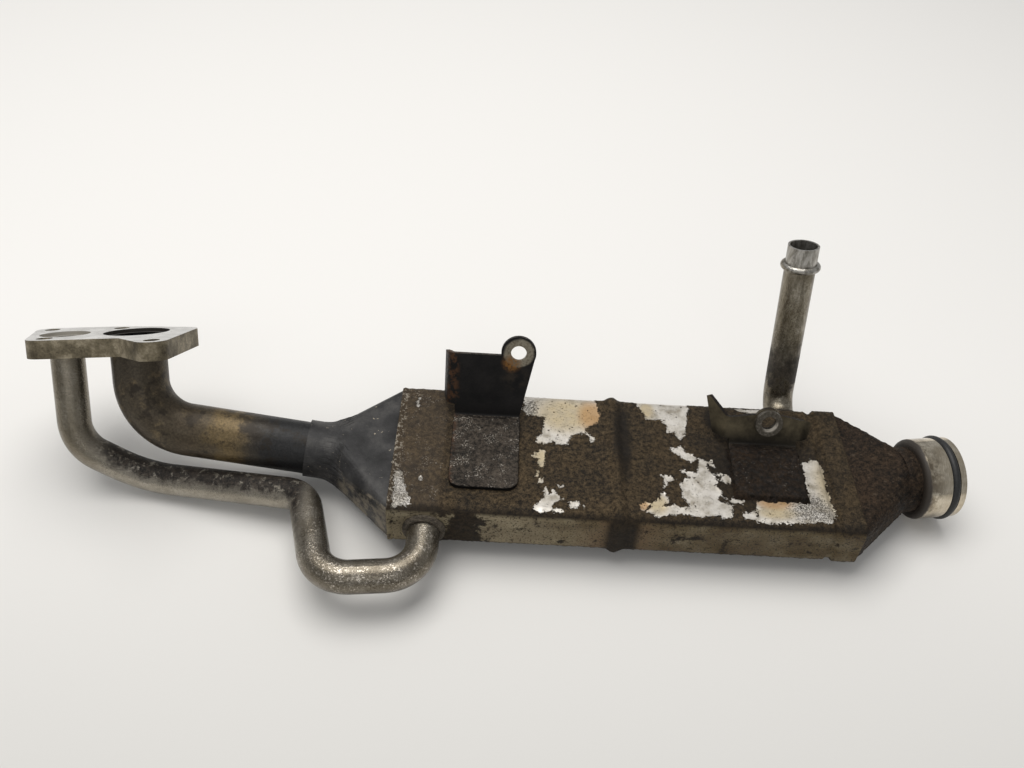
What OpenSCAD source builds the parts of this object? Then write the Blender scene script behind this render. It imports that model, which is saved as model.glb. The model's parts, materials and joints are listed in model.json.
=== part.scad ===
// Exhaust gas recirculation cooler: a rectangular sheet-steel tube bundle cooler with a bent gas pipe and a
// coolant pipe that share one flange, two brackets, a coolant outlet tube and a sealed gas spigot.
// Millimetres. The origin is the centre of the gas port on the flange face, +X runs along the cooler from
// gas inlet to gas outlet, and +Z is the outward normal of the broad face that carries the brackets.

/* [Flange] */
// Tilt of the port face back from level
flange_tilt = 34; // [28:1:40]
// Lean of the port face away from the cooler
flange_lean = 4.6; // [0:0.2:8]
// Thickness of the flange plate
flange_t = 10; // [8:0.5:14]
// Corner radius of the flange outline
flange_corner = 8.5; // [7.5:0.5:11]
// Distance between the two ports along the flange
port_pitch = 38.5; // [37:0.5:44]
// Distance of the coolant port towards the near edge
port_offset = 3; // [0:0.5:8]
// Diameter of the recess round the gas port
gas_recess_d = 34.6; // [33:0.2:37]
// Diameter of the recess round the coolant port
coolant_recess_d = 26; // [23:0.5:28]
// Depth of both port recesses
recess_t = 2; // [1.5:0.5:5]
// Diameter of the flange bolt holes
bolt_d = 8.4; // [6.5:0.1:9]
// Reach of the near left bolt beyond the coolant port
near_bolt_x = 3; // [2:0.1:8]
// Distance of the near left bolt from the coolant port towards the near edge
near_bolt_y = 18.5; // [18:0.1:24]
// Reach of the near left corner beyond its bolt
near_corner = 1; // [0:0.1:5]
// Reach of the far left bolt beyond the coolant port
far_bolt_x = 17; // [12:0.1:20]
// Distance of the far left bolt from the coolant port towards the far edge
far_bolt_y = 22; // [18:0.1:26]
// Distance of the middle bolt back from the gas port
mid_bolt_x = 16; // [12:0.1:20]
// Distance of the middle bolt from the gas port towards the far edge
mid_bolt_y = 20; // [18:0.1:24]
// Distance of the lobe bolt ahead of the gas port
lobe_bolt_x = 22; // [18:0.1:26]
// Distance of the lobe bolt from the gas port towards the near edge
lobe_bolt_y = 39; // [28:0.1:44]
// Distance of the waist ahead of the gas port
waist_x = 4; // [0:0.1:8]
// Distance of the waist from the gas port towards the near edge
waist_y = 19; // [17:0.1:24]
// Distance of the far right corner ahead of the gas port
right_x = 22; // [19:0.1:28]
// Distance of the far right corner from the gas port towards the far edge
right_y = 9; // [5:0.1:16]

/* [Gas pipe] */
// Outside diameter of the gas pipe
gas_od = 30; // [27:0.5:32]
// Wall of the gas pipe
gas_wall = 1.5; // [1:0.1:2.5]
// Length from the flange face to the corner of the bend
gas_leg = 52; // [46:1:62]
// Centre-line radius of the gas pipe bend
gas_bend_r = 30; // [24:1:36]
// Length from the corner of the bend to the mouth of the diffuser neck
gas_run = 91.5; // [75:0.5:130]
// Fall of the gas pipe towards the cooler
gas_fall = 8.7; // [4:0.1:12]

/* [Shell] */
// Length of the shell
shell_len = 260; // [230:1:320]
// Width of the broad face
shell_w = 93; // [86:0.5:102]
// Depth of the shell
shell_d = 29; // [27:0.5:34]
// Corner radius of the shell section
shell_corner = 6; // [4.5:0.5:8]
// Sheet thickness of the shell and the diffusers
sheet = 1.5; // [1:0.1:2]
// Length of the raised collar at the inlet end
inlet_collar = 27; // [24:0.5:29]
// Rise of the inlet collar above the shell
inlet_rise = 1.2; // [0.6:0.1:2]
// Length of the raised collar at the outlet end
outlet_collar = 11.5; // [10.5:0.5:16]
// Rise of the outlet collar above the shell
outlet_rise = 0.8; // [0.4:0.1:1.6]
// Depth of the groove pressed in before the outlet collar
groove_t = 1.2; // [0.4:0.1:1.6]
// Distance of the stiffening bead from the outlet end
bead_back = 134.5; // [120:0.5:150]
// Rise of the stiffening bead
bead_rise = 2.2; // [1:0.1:3]
// Half the width of the stiffening bead
bead_half = 6; // [4:0.5:9]

/* [Tube bundle] */
// Width of one flat gas tube
tube_w = 7; // [5:0.1:8]
// Coolant gap above and below the gas tubes
tube_gap = 3; // [2:0.1:5]
// Wall of a gas tube
tube_wall = 0.7; // [0.4:0.1:1.2]
// Coolant gap beside the outer gas tubes
tube_side = 3.5; // [2.5:0.1:5]
// Thickness of the header plates
header_t = 2; // [1.5:0.1:2.6]
// Length of tube that stands out of each header
tube_proud = 1; // [0.5:0.1:2]
// Thickness of a baffle
baffle_t = 1; // [0.8:0.1:2]
// Width of the coolant window cut from one side of each baffle
baffle_window = 16; // [10:0.5:20]
// Spacing of the baffles
baffle_pitch = 58; // [45:1:64]

/* [Diffusers] */
// Reach from the mouth of the inlet neck to the shell
inlet_reach = 51.5; // [45:0.5:65]
// Sideways shift from the inlet neck to the shell
inlet_shift = 3.5; // [0:0.5:6]
// Drop from the inlet neck to the shell
inlet_drop = 2.8; // [0:0.2:6]
// Length of the round inlet neck
inlet_neck = 16; // [14.5:0.5:24]
// Depth that the gas pipe goes into the inlet neck
neck_socket = 12; // [8:0.5:13]
// Wall of the round necks
neck_wall = 1.3; // [1.2:0.1:2.5]
// Depth of the diffuser skirts inside the shell
skirt = 8; // [5:0.5:8]
// Turn of the outlet axis away from the shell axis
outlet_yaw = 9.2; // [0:0.2:12]
// Length of the outlet cone on the outlet axis
outlet_cone = 32; // [28:0.5:45]
// Outside diameter of the outlet neck
outlet_neck_od = 38; // [36:0.5:40]
// Length of outlet neck that shows before the spigot
outlet_neck = 8; // [5:0.5:14]

/* [Spigot] */
// Outside diameter of the turned spigot
spigot_od = 47; // [46:0.5:52]
// Length of the spigot
spigot_len = 24; // [21:0.5:32]
// Depth of the socket that takes the outlet neck
spigot_socket = 9; // [6:0.5:11]
// Bore of the spigot
spigot_bore = 33; // [30:0.5:34]
// Radius of the turned shoulder
spigot_round = 3; // [1:0.5:4]
// Distance from the shoulder end to the middle of the seal groove
seal_x = 18; // [15:0.5:18.5]
// Section diameter of the seal ring
seal_d = 4.8; // [3:0.1:5]
// Height of the seal ring above the spigot
seal_proud = 1.2; // [0.5:0.1:2]

/* [Coolant inlet pipe] */
// Outside diameter of both coolant pipes
coolant_od = 18; // [15:0.5:20]
// Wall of both coolant pipes
coolant_wall = 1.2; // [0.8:0.1:2]
// Place of the coolant inlet along the shell
inlet_x = 20.3; // [15.5:0.1:22]
// Reach of the loop out from the shell side
loop_out = 31; // [28:0.5:46]
// Length of the loop back along the shell
loop_back = 52; // [44:0.5:70]
// Skew of the loop away from the shell
loop_skew = 5.8; // [0:0.2:10]
// Place of the crossing bend beside the diffuser, back along the shell
cross_x = 49.3; // [42:0.1:60]
// Distance of the crossing bend from the shell axis
cross_y = 24.6; // [22:0.1:34]
// Depth of the crossing bend below the shell axis
cross_z = 5.5; // [2:0.1:12]
// Place of the sweep under the gas pipe, back along the shell
sweep_x = 144.5; // [130:0.5:150]
// Distance of the sweep from the shell axis
sweep_y = 9.6; // [4:0.1:16]
// Depth of the sweep below the shell axis
sweep_z = 15.1; // [10:0.1:22]
// Length from the flange face down to the corner of the coolant bend
coolant_leg = 62.5; // [56:0.5:70]
// Centre-line radius of the loop bends
loop_r = 20; // [16:0.5:23]
// Centre-line radius of the crossing bend
cross_r = 16; // [13:0.5:22]
// Centre-line radius of the sweep
sweep_r = 52; // [40:1:60]
// Centre-line radius of the bend under the flange
drop_r = 25; // [20:0.5:28]
// Outside diameter of the weld sockets
socket_od = 23.5; // [21:0.5:25]
// Height of the weld sockets
socket_h = 3; // [2:0.5:4]

/* [Coolant outlet pipe] */
// Distance of the coolant outlet from the outlet end
outlet_back = 28; // [25:0.5:44]
// Reach of the outlet out from the shell side
outlet_out = 16.4; // [16.4:0.2:28]
// Tilt of the outlet leg from upright, away from the shell
outlet_tilt = 14.4; // [8:0.2:24]
// Lean of the outlet leg towards the gas inlet
outlet_lean = 2.3; // [0:0.1:6]
// Length from the corner of the outlet bend to the tip
outlet_leg = 107; // [80:1:130]
// Centre-line radius of the outlet bend
outlet_r = 16.2; // [15.5:0.7:16.2]
// Distance from the tip to the hose bead
hose_tip = 12.5; // [9:0.5:20]
// Diameter of the hose bead
hose_bead_d = 23; // [22:0.5:25]
// Section radius of the hose bead
hose_bead_r = 2; // [1.5:0.1:2.5]

/* [Brackets] */
// Sheet thickness of both brackets
plate_t = 2.5; // [2:0.1:3.5]
// Inside radius of the bracket folds
fold_r = 2.5; // [1.5:0.1:4]
// Angle of the bracket plates to the broad face
plate_angle = 68; // [55:1:85]
// Diameter of the bracket holes
hole_d = 9; // [6.5:0.1:10.5]
// Distance of the front bracket from the inlet collar's slope
front_gap = 1; // [0.5:0.1:8]
// Place of the front bracket's fold across the shell
front_y = 21.4; // [14:0.2:26]
// Width of the front bracket's foot
front_w = 38; // [32:0.5:46]
// Length of the front bracket's foot
front_foot = 52; // [30:0.5:54]
// Height of the front bracket's plate
front_h = 36.5; // [32:0.5:44]
// Radius of the front bracket's ear
ear_r = 10; // [8.5:0.1:12]
// Depth of the front bracket's side flange
front_flange = 9; // [5:0.5:14]
// Distance of the rear bracket's left edge from the outlet end
rear_back = 68.5; // [62:0.5:80]
// Place of the rear bracket's fold across the shell
rear_y = 9.7; // [4:0.1:12]
// Width of the rear bracket's plate
rear_w = 39; // [36:0.5:46]
// Length of the rear bracket's foot
rear_foot = 36; // [24:0.5:40]
// Height of the rear bracket's hole above the fold
rear_hole_h = 13.3; // [12:0.1:18]
// Outside diameter of the rear weld nut
nut_d = 15.5; // [14:0.1:18]
// Height of the rear weld nut
nut_h = 3; // [2:0.1:6]

/* [Fits] */
// Clearance round pipes and necks in their sockets
pipe_fit = 0.1; // [0.05:0.05:0.2]
// Clearance round plates and tubes inside the shell
braze_fit = 0.1; // [0.05:0.05:0.25]

/* [Hidden] */
$fn = 64;
cut = 1;
hull_fn = 32;
slab = 0.6;
bend_lap = 0.6;
bend_hair = 0.05;
fold_lap = 0.2;
fold_hair = 0.02;
inlet_hair = 0.2;
outlet_hair = 0.5;
skirt_hair = 0.05;
side_hair = 0.03;
tube_count = 8;
baffle_count = 3;
collar_slope = 4;
groove_slope = 2;
bead_shoulder = 0.7;

// Places along the shell, and the gas tubes that fill its section
bead_x = shell_len - bead_back;
outlet_x = shell_len - outlet_back;
front_x = inlet_collar + collar_slope + front_gap;
rear_x = shell_len - rear_back;
tube_h = shell_d - 2 * sheet - 2 * tube_gap;
tube_pitch = (shell_w - 2 * sheet - 2 * tube_side - tube_w) / (tube_count - 1);

// Directions and places on the gas line
function lean_point(p) = [p.x * cos(flange_lean) - p.z * sin(flange_lean), p.y,
                          p.x * sin(flange_lean) + p.z * cos(flange_lean)];
function tilt_point(p) = [p.x, p.y * cos(flange_tilt) + p.z * sin(flange_tilt),
                          p.z * cos(flange_tilt) - p.y * sin(flange_tilt)];
function flange_point(p) = tilt_point(lean_point(p));
port_axis = flange_point([0, 0, 1]);
run_dir = [cos(gas_fall), 0, -sin(gas_fall)];
gas_corner = -port_axis * gas_leg;
neck_mouth = gas_corner + run_dir * gas_run;
shell_pos = neck_mouth + [inlet_reach, -inlet_shift, -inlet_drop];

// Gas pipe route, from the floor of the flange recess into the inlet neck
gas_route = [-port_axis * recess_t, gas_corner, neck_mouth + run_dir * (neck_socket - pipe_fit)];

// Coolant inlet route, from the shell side round the loop and along the gas pipe to the flange
coolant_port = [-port_pitch, -port_offset];
coolant_face = flange_point([coolant_port.x, coolant_port.y, 0]);
side_in = shell_w / 2 - sheet - cut;
coolant_route = [
    shell_pos + [inlet_x, -side_in, 0],
    shell_pos + [inlet_x, -shell_w / 2 - loop_out, 0],
    shell_pos + [inlet_x - loop_back, -shell_w / 2 - loop_out - loop_skew, 0],
    shell_pos + [-cross_x, -cross_y, -cross_z],
    shell_pos + [-sweep_x, -sweep_y, -sweep_z],
    coolant_face - port_axis * coolant_leg,
    coolant_face - port_axis * recess_t];
coolant_bends = [loop_r, loop_r, cross_r, sweep_r, drop_r];

// Coolant outlet route, from the far shell side up to the hose tip
outlet_dir = [-sin(outlet_lean), cos(outlet_lean) * sin(outlet_tilt), cos(outlet_lean) * cos(outlet_tilt)];
outlet_corner = shell_pos + [outlet_x, shell_w / 2 + outlet_out, 0];
outlet_tip = outlet_corner + outlet_dir * outlet_leg;
outlet_route = [shell_pos + [outlet_x, side_in, 0], outlet_corner, outlet_tip];

// Sizes of what seats in the shell
inlet_neck_od = gas_od + 2 * pipe_fit + 2 * neck_wall;
inlet_header_x = skirt + braze_fit;
outlet_header_x = shell_len - skirt - braze_fit - header_t;
tube_start = inlet_header_x - tube_proud;
tube_len = outlet_header_x + header_t + tube_proud - tube_start;
groove_end = shell_len - outlet_collar;
inlet_inner = inlet_rise - sheet - braze_fit;
outlet_inner = outlet_rise - sheet - braze_fit;

// Bolt holes of the flange, and the corners of its outline at the centres of their rounds
near_bolt = [-port_pitch - near_bolt_x, -port_offset - near_bolt_y];
far_bolt = [-port_pitch - far_bolt_x, far_bolt_y - port_offset];
mid_bolt = [-mid_bolt_x, mid_bolt_y];
lobe_bolt = [lobe_bolt_x, -lobe_bolt_y];
flange_bolts = [near_bolt, lobe_bolt, mid_bolt, far_bolt];
flange_corners = [near_bolt - [near_corner, 0], [waist_x, -waist_y], lobe_bolt, [right_x, right_y],
                  mid_bolt, far_bolt];

// Vector helpers and bends
function unit(v) = v / norm(v);
function leg_dir(r, i) = unit(r[i + 1] - r[i]);
function turn(r, i) = acos(max(-1, min(1, leg_dir(r, i - 1) * leg_dir(r, i))));
function trim(r, b, i) = b[i - 1] * tan(turn(r, i) / 2);

// Puts children at a point with their Z along a direction
module along(p, d) {
    side = abs(d.y) < 0.9 ? [0, 1, 0] : [1, 0, 0];
    x = unit(cross(side, d));
    y = cross(d, x);
    multmatrix([[x.x, y.x, d.x, p.x], [x.y, y.y, d.y, p.y], [x.z, y.z, d.z, p.z], [0, 0, 0, 1]])
        children();
}

module ring(od, wall) {
    difference() {
        circle(d = od);
        circle(d = od - 2 * wall);
    }
}

// Tube along a route of corners, with a bend radius at each inner corner. Each bend is a hair thinner than
// the straights and starts inside their ends.
module bent_tube(route, bends, od, wall) {
    last = len(route) - 2;
    for (i = [0 : last]) {
        d = leg_dir(route, i);
        start = i == 0 ? 0 : trim(route, bends, i) - bend_lap;
        stop = norm(route[i + 1] - route[i]) - (i == last ? 0 : trim(route, bends, i + 1) - bend_lap);
        along(route[i] + d * start, d) linear_extrude(stop - start) ring(od, wall);
    }
    for (i = [1 : last]) {
        a = leg_dir(route, i - 1);
        b = leg_dir(route, i);
        axis = unit(cross(a, b));
        out = cross(a, axis);
        centre = route[i] - a * trim(route, bends, i) - out * bends[i - 1];
        multmatrix([[out.x, a.x, axis.x, centre.x], [out.y, a.y, axis.y, centre.y],
                    [out.z, a.z, axis.z, centre.z], [0, 0, 0, 1]])
            rotate_extrude(angle = turn(route, i)) translate([bends[i - 1], 0])
                ring(od - 2 * bend_hair, wall - 2 * bend_hair);
    }
}

module in_flange() {
    rotate([-flange_tilt, 0, 0]) rotate([0, -flange_lean, 0]) children();
}

// Shell frame with Z along the shell, from the inlet end
module in_shell() {
    translate(shell_pos) rotate([0, 90, 0]) children();
}

// Outlet frame with Z along the turned outlet axis
module in_outlet() {
    translate(shell_pos + [shell_len, 0, 0]) rotate([0, 0, outlet_yaw]) rotate([0, 90, 0]) children();
}

module rounded_rect(d, w, r) {
    square([d - 2 * r, w], center = true);
    square([d, w - 2 * r], center = true);
    for (x = [-1, 1], y = [-1, 1]) translate([x * (d / 2 - r), y * (w / 2 - r)]) circle(r);
}

// Shell section moved in or out by an offset
module section(move) {
    rounded_rect(shell_d + 2 * move, shell_w + 2 * move, shell_corner + move);
}

// Sweeps a wall profile round the shell section: x is the offset from the section, y the place along it
module section_sweep() {
    for (k = [0 : 3]) {
        half = (k % 2 == 0 ? shell_d : shell_w) / 2;
        run = (k % 2 == 0 ? shell_w : shell_d) - 2 * shell_corner;
        rotate([0, 0, 90 * k]) {
            translate([half, run / 2, 0]) rotate([90, 0, 0]) linear_extrude(run) children();
            translate([half - shell_corner, run / 2, 0])
                rotate_extrude(angle = 90) translate([shell_corner, 0]) children();
        }
    }
}

// Outer line of the shell wall, from inlet to outlet
wall_line = [
    [inlet_rise, 0], [inlet_rise, inlet_collar], [0, inlet_collar + collar_slope],
    [0, bead_x - bead_half], [bead_rise * bead_shoulder, bead_x - bead_half / 2], [bead_rise, bead_x],
    [bead_rise * bead_shoulder, bead_x + bead_half / 2], [0, bead_x + bead_half],
    [0, groove_end - 3 * groove_slope], [-groove_t, groove_end - 2 * groove_slope],
    [-groove_t, groove_end - groove_slope], [outlet_rise, groove_end], [outlet_rise, shell_len]];

module shell() {
    inner = [for (i = [len(wall_line) - 1 : -1 : 0]) wall_line[i] - [sheet, 0]];
    color("#3b332b") in_shell() difference() {
        section_sweep() polygon(concat(wall_line, inner));
        translate([0, 0, inlet_x]) rotate([90, 0, 0])
            cylinder(d = coolant_od + 2 * pipe_fit, h = shell_w);
        translate([0, 0, outlet_x]) rotate([-90, 0, 0])
            cylinder(d = coolant_od + 2 * pipe_fit, h = shell_w);
    }
}

module tube_outline(grow) {
    square([tube_h - tube_w, tube_w + 2 * grow], center = true);
    for (x = [-1, 1]) translate([x * (tube_h - tube_w) / 2, 0]) circle(d = tube_w + 2 * grow);
}

function tube_y(i) = (i - (tube_count + 1) / 2) * tube_pitch;

module tube_slots() {
    for (i = [1 : tube_count]) translate([0, tube_y(i)]) tube_outline(braze_fit);
}

module gas_tube(i) {
    color("#8d8a80") in_shell() translate([0, tube_y(i), tube_start]) linear_extrude(tube_len) difference() {
        tube_outline(0);
        tube_outline(-tube_wall);
    }
}

module header(x, move) {
    color("#8a8478") in_shell() translate([0, 0, x]) linear_extrude(header_t) difference() {
        section(move);
        tube_slots();
    }
}

module inlet_header() {
    header(inlet_header_x, inlet_inner);
}

module outlet_header() {
    header(outlet_header_x, outlet_inner);
}

// Baffles cut away on alternate sides so that the coolant zigzags
module baffle(i) {
    side = i % 2 == 0 ? 1 : -1;
    x = shell_len / 2 + (i - (baffle_count + 1) / 2) * baffle_pitch;
    color("#8a8478") in_shell() translate([0, 0, x]) linear_extrude(baffle_t) difference() {
        section(-sheet - braze_fit);
        tube_slots();
        translate([0, side * (shell_w - baffle_window)]) square(shell_w, center = true);
    }
}

// Rectangular skirt that seats inside a collar and starts within the cone's wall, which lies below it
module skirt_ring(move) {
    translate([0, 0, -slab / 2]) linear_extrude(skirt + slab / 2) difference() {
        section(move - skirt_hair);
        section(move - sheet + skirt_hair);
    }
}

// Cone from a skirt to the round inlet neck: 0 for its outside, 1 for its inside
module inlet_skin(inside, extra) {
    hull() {
        in_shell() translate([0, 0, -slab]) linear_extrude(slab + extra)
            section(inlet_inner - inside * sheet, $fn = hull_fn);
        along(neck_mouth + run_dir * (inlet_neck - 2 * slab - extra), run_dir)
            cylinder(d = inlet_neck_od - 2 * inlet_hair - 2 * inside * neck_wall, h = slab, $fn = hull_fn);
    }
}

module inlet_diffuser() {
    color("#2c2e31") {
        in_shell() skirt_ring(inlet_inner);
        difference() {
            union() {
                inlet_skin(0, 0);
                along(neck_mouth, run_dir) cylinder(d = inlet_neck_od, h = inlet_neck);
            }
            inlet_skin(1, cut);
            along(neck_mouth - run_dir * cut, run_dir)
                cylinder(d = gas_od + 2 * pipe_fit, h = neck_socket + cut);
            along(neck_mouth, run_dir) cylinder(d = gas_od - 2 * gas_wall, h = inlet_neck);
        }
    }
}

module outlet_skin(inside, extra) {
    hull() {
        in_shell() translate([0, 0, shell_len - extra]) linear_extrude(slab + extra)
            section(outlet_inner - inside * sheet, $fn = hull_fn);
        in_outlet() translate([0, 0, outlet_cone + slab + extra])
            cylinder(d = outlet_neck_od - 2 * outlet_hair - 2 * inside * neck_wall, h = slab, $fn = hull_fn);
    }
}

module outlet_diffuser() {
    color("#332b25") {
        in_shell() translate([0, 0, shell_len]) mirror([0, 0, 1]) skirt_ring(outlet_inner);
        difference() {
            union() {
                outlet_skin(0, 0);
                in_outlet() translate([0, 0, outlet_cone])
                    cylinder(d = outlet_neck_od, h = outlet_neck + spigot_socket - pipe_fit);
            }
            outlet_skin(1, cut);
            in_outlet() translate([0, 0, outlet_cone])
                cylinder(d = outlet_neck_od - 2 * neck_wall, h = outlet_neck + spigot_socket + cut);
        }
    }
}

spigot_start = outlet_cone + outlet_neck;
groove_r = spigot_od / 2 + seal_proud - seal_d - pipe_fit;
groove_half = seal_d / 2 + pipe_fit;

// Turned section of the spigot: socket, shoulder, polished land, seal groove and rim
module spigot_profile() {
    r = spigot_od / 2;
    socket_r = outlet_neck_od / 2 + pipe_fit;
    difference() {
        union() {
            translate([spigot_bore / 2, 0]) square([r - spigot_bore / 2 - spigot_round, spigot_len]);
            translate([spigot_bore / 2, spigot_round])
                square([r - spigot_bore / 2, spigot_len - spigot_round]);
            translate([r - spigot_round, spigot_round]) circle(spigot_round);
        }
        translate([spigot_bore / 2 - cut, -cut])
            square([socket_r - spigot_bore / 2 + cut, spigot_socket + cut]);
        translate([groove_r, seal_x - groove_half]) square([r, 2 * groove_half]);
    }
}

module spigot() {
    color("#b3ab9b") in_outlet() translate([0, 0, spigot_start]) rotate_extrude() spigot_profile();
}

module seal_ring() {
    color("#151515") in_outlet() translate([0, 0, spigot_start + seal_x])
        rotate_extrude() translate([spigot_od / 2 + seal_proud - seal_d / 2, 0]) circle(d = seal_d);
}

module gas_pipe() {
    color("#4a443a") bent_tube(gas_route, [gas_bend_r], gas_od, gas_wall);
}

module coolant_inlet_pipe() {
    color("#6d6a5f") bent_tube(coolant_route, coolant_bends, coolant_od, coolant_wall);
}

module coolant_outlet_pipe() {
    color("#76736a") {
        bent_tube(outlet_route, [outlet_r], coolant_od, coolant_wall);
        along(outlet_tip - outlet_dir * hose_tip, outlet_dir) rotate_extrude() difference() {
            translate([hose_bead_d / 2 - hose_bead_r, 0]) circle(hose_bead_r);
            translate([-hose_bead_d, -hose_bead_d])
                square([hose_bead_d + coolant_od / 2 - coolant_wall / 2, 2 * hose_bead_d]);
        }
    }
}

// Weld socket: a ring with a sloped shoulder round a coolant pipe, on the shell side
module weld_socket() {
    bore_r = coolant_od / 2 + pipe_fit;
    rotate_extrude() polygon([[bore_r, 0], [socket_od / 2, 0], [socket_od / 2, socket_h / 2],
                              [bore_r + coolant_wall, socket_h], [bore_r, socket_h]]);
}

module inlet_socket() {
    color("#57524a") translate(shell_pos + [inlet_x, -shell_w / 2 - inlet_rise, 0])
        rotate([90, 0, 0]) weld_socket();
}

module outlet_socket() {
    color("#57524a") translate(shell_pos + [outlet_x, shell_w / 2, 0]) rotate([-90, 0, 0]) weld_socket();
}

// Outline with every corner rounded outwards by one radius; its sides stay a hair inside the rounds
module rounded_outline(points, r) {
    side = r - side_hair;
    polygon(points);
    for (i = [0 : len(points) - 1]) {
        a = points[i];
        b = points[(i + 1) % len(points)];
        translate(a) circle(r);
        translate(a) rotate(atan2(b.y - a.y, b.x - a.x)) translate([0, -side])
            square([norm(b - a), 1.5 * side]);
    }
}

// Two-port flange, drawn below its port face
module flange() {
    color("#77756c") in_flange() difference() {
        translate([0, 0, -flange_t]) linear_extrude(flange_t) rounded_outline(flange_corners, flange_corner);
        translate([0, 0, -flange_t - cut]) cylinder(d = gas_od + 2 * pipe_fit, h = flange_t + 2 * cut);
        translate([0, 0, -recess_t]) cylinder(d = gas_recess_d, h = recess_t + cut);
        translate([coolant_port.x, coolant_port.y, -flange_t - cut])
            cylinder(d = coolant_od + 2 * pipe_fit, h = flange_t + 2 * cut);
        translate([coolant_port.x, coolant_port.y, -recess_t])
            cylinder(d = coolant_recess_d, h = recess_t + cut);
        for (p = flange_bolts) translate([p.x, p.y, -flange_t - cut])
            cylinder(d = bolt_d, h = flange_t + 2 * cut);
    }
}

// Bracket frame: X along the shell, Y across it from the fold, Z out of the broad face
module on_face(x, y) {
    translate(shell_pos + [x, y, shell_d / 2]) children();
}

// Foot of a bracket up to its fold, with the two far corners rounded
module foot(w, l, r) {
    linear_extrude(plate_t) {
        translate([0, r - l]) square([w, l - r + fold_lap]);
        translate([r, -l]) square([w - 2 * r, l]);
        for (x = [r, w - r]) translate([x, r - l]) circle(r);
    }
}

// Fold of sheet about Z, a hair thinner than the flats that lap its two ends
module fold(angle, w) {
    rotate_extrude(angle = angle) translate([fold_r + fold_hair, fold_hair])
        square([plate_t - 2 * fold_hair, w - 2 * fold_hair]);
}

// Fold from the foot up to the plate
module foot_fold(w) {
    translate([0, 0, plate_t + fold_r]) rotate([0, 90, 0]) fold(plate_angle, w);
}

// Plate frame: Y up the plate from the fold, Z from its back to its front
module on_plate() {
    translate([0, 0, plate_t + fold_r]) rotate([plate_angle, 0, 0]) translate([0, 0, -fold_r - plate_t])
        children();
}

// Side flange folded back from a plate's left edge, with its outline as the child
module wing(angle, low, high) {
    translate([0, 0, -fold_r]) {
        translate([0, high, 0]) multmatrix([[0, -1, 0, 0], [0, 0, -1, 0], [1, 0, 0, 0], [0, 0, 0, 1]])
            fold(angle, high - low);
        rotate([0, -angle, 0]) translate([0, 0, fold_r]) linear_extrude(plate_t) children();
    }
}

front_overhang = 0.4;
front_wing_low = 5;
front_corner = 3;
front_wing_angle = 80;
ear_inset = 2.7;
ear_lift = 1.7;
ear_x = front_w - ear_inset;
ear_y = front_h + ear_lift;

module front_outline() {
    difference() {
        union() {
            polygon([[0, -fold_lap], [front_w, -fold_lap], [ear_x + ear_r, ear_y], [0, ear_y - ear_r / 2]]);
            translate([-front_overhang - fold_lap, front_wing_low])
                square([ear_x + front_overhang + fold_lap, front_h - front_wing_low]);
            translate([ear_x, ear_y]) circle(ear_r);
        }
        translate([ear_x, ear_y]) circle(d = hole_d);
    }
}

module front_bracket() {
    color("#26231f") on_face(front_x, front_y) {
        foot(front_w, front_foot, 2 * front_corner);
        foot_fold(front_w);
        on_plate() {
            linear_extrude(plate_t) front_outline();
            translate([-front_overhang, 0, 0]) wing(front_wing_angle, front_wing_low, front_h)
                translate([-front_flange, front_wing_low])
                    square([front_flange + fold_lap, front_h - front_wing_low - front_corner]);
        }
    }
}

rear_hole_share = 0.53;
nut_margin = 0.4;
arch_lift = 4;
left_wing_angle = 50;
right_wing_angle = 40;
wing_low = 2;
wing_lift = 2;
wing_tip = 15;
wing_tip_flat = 2;
wing_tip_rise = 8;
wing_tip_slope = 1;
right_wing_fall = 4;
rear_hole_x = rear_w * rear_hole_share;
rear_arch_r = nut_d / 2 + nut_margin;
arch_foot = rear_hole_h + arch_lift;
wing_high = rear_hole_h + wing_lift;
wing_top = wing_high + wing_tip_rise;

module rear_outline() {
    difference() {
        union() {
            polygon([[0, -fold_lap], [rear_w, -fold_lap], [rear_w, wing_low], [rear_w + fold_lap, wing_low],
                     [rear_w + fold_lap, wing_high], [rear_hole_x + rear_arch_r, arch_foot],
                     [rear_hole_x - rear_arch_r, arch_foot], [-fold_lap, wing_high],
                     [-fold_lap, wing_low], [0, wing_low]]);
            translate([rear_hole_x, rear_hole_h]) circle(rear_arch_r);
        }
        translate([rear_hole_x, rear_hole_h]) circle(d = hole_d);
    }
}

module rear_bracket() {
    color("#2d2a25") on_face(rear_x, rear_y) {
        foot(rear_w, rear_foot, 2 * front_corner);
        foot_fold(rear_w);
        on_plate() {
            linear_extrude(plate_t) rear_outline();
            wing(left_wing_angle, wing_low, wing_high)
                polygon([[fold_lap, wing_low], [fold_lap, wing_high], [wing_tip_flat - wing_tip, wing_top],
                         [-wing_tip, wing_top - wing_tip_slope], [-wing_tip / 2, wing_low]]);
            translate([rear_w, 0, 0]) mirror([1, 0, 0]) wing(right_wing_angle, wing_low, wing_high)
                polygon([[fold_lap, wing_low], [fold_lap, wing_high],
                         [-wing_tip / 2, wing_high - right_wing_fall], [-wing_tip / 3, wing_low]]);
        }
    }
}

// Round weld nut on the front of the rear bracket
module rear_weld_nut() {
    color("#5a554b") on_face(rear_x, rear_y) on_plate() translate([rear_hole_x, rear_hole_h, plate_t])
        linear_extrude(nut_h) ring(nut_d, (nut_d - hole_d) / 2);
}

shell();
inlet_header();
outlet_header();
for (i = [1 : tube_count]) gas_tube(i);
for (i = [1 : baffle_count]) baffle(i);
inlet_diffuser();
outlet_diffuser();
gas_pipe();
flange();
coolant_inlet_pipe();
coolant_outlet_pipe();
inlet_socket();
outlet_socket();
front_bracket();
rear_bracket();
rear_weld_nut();
spigot();
seal_ring();
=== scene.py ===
import json
import math

import bmesh
import bpy
import numpy as np
from mathutils import Matrix, Vector, noise


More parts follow.
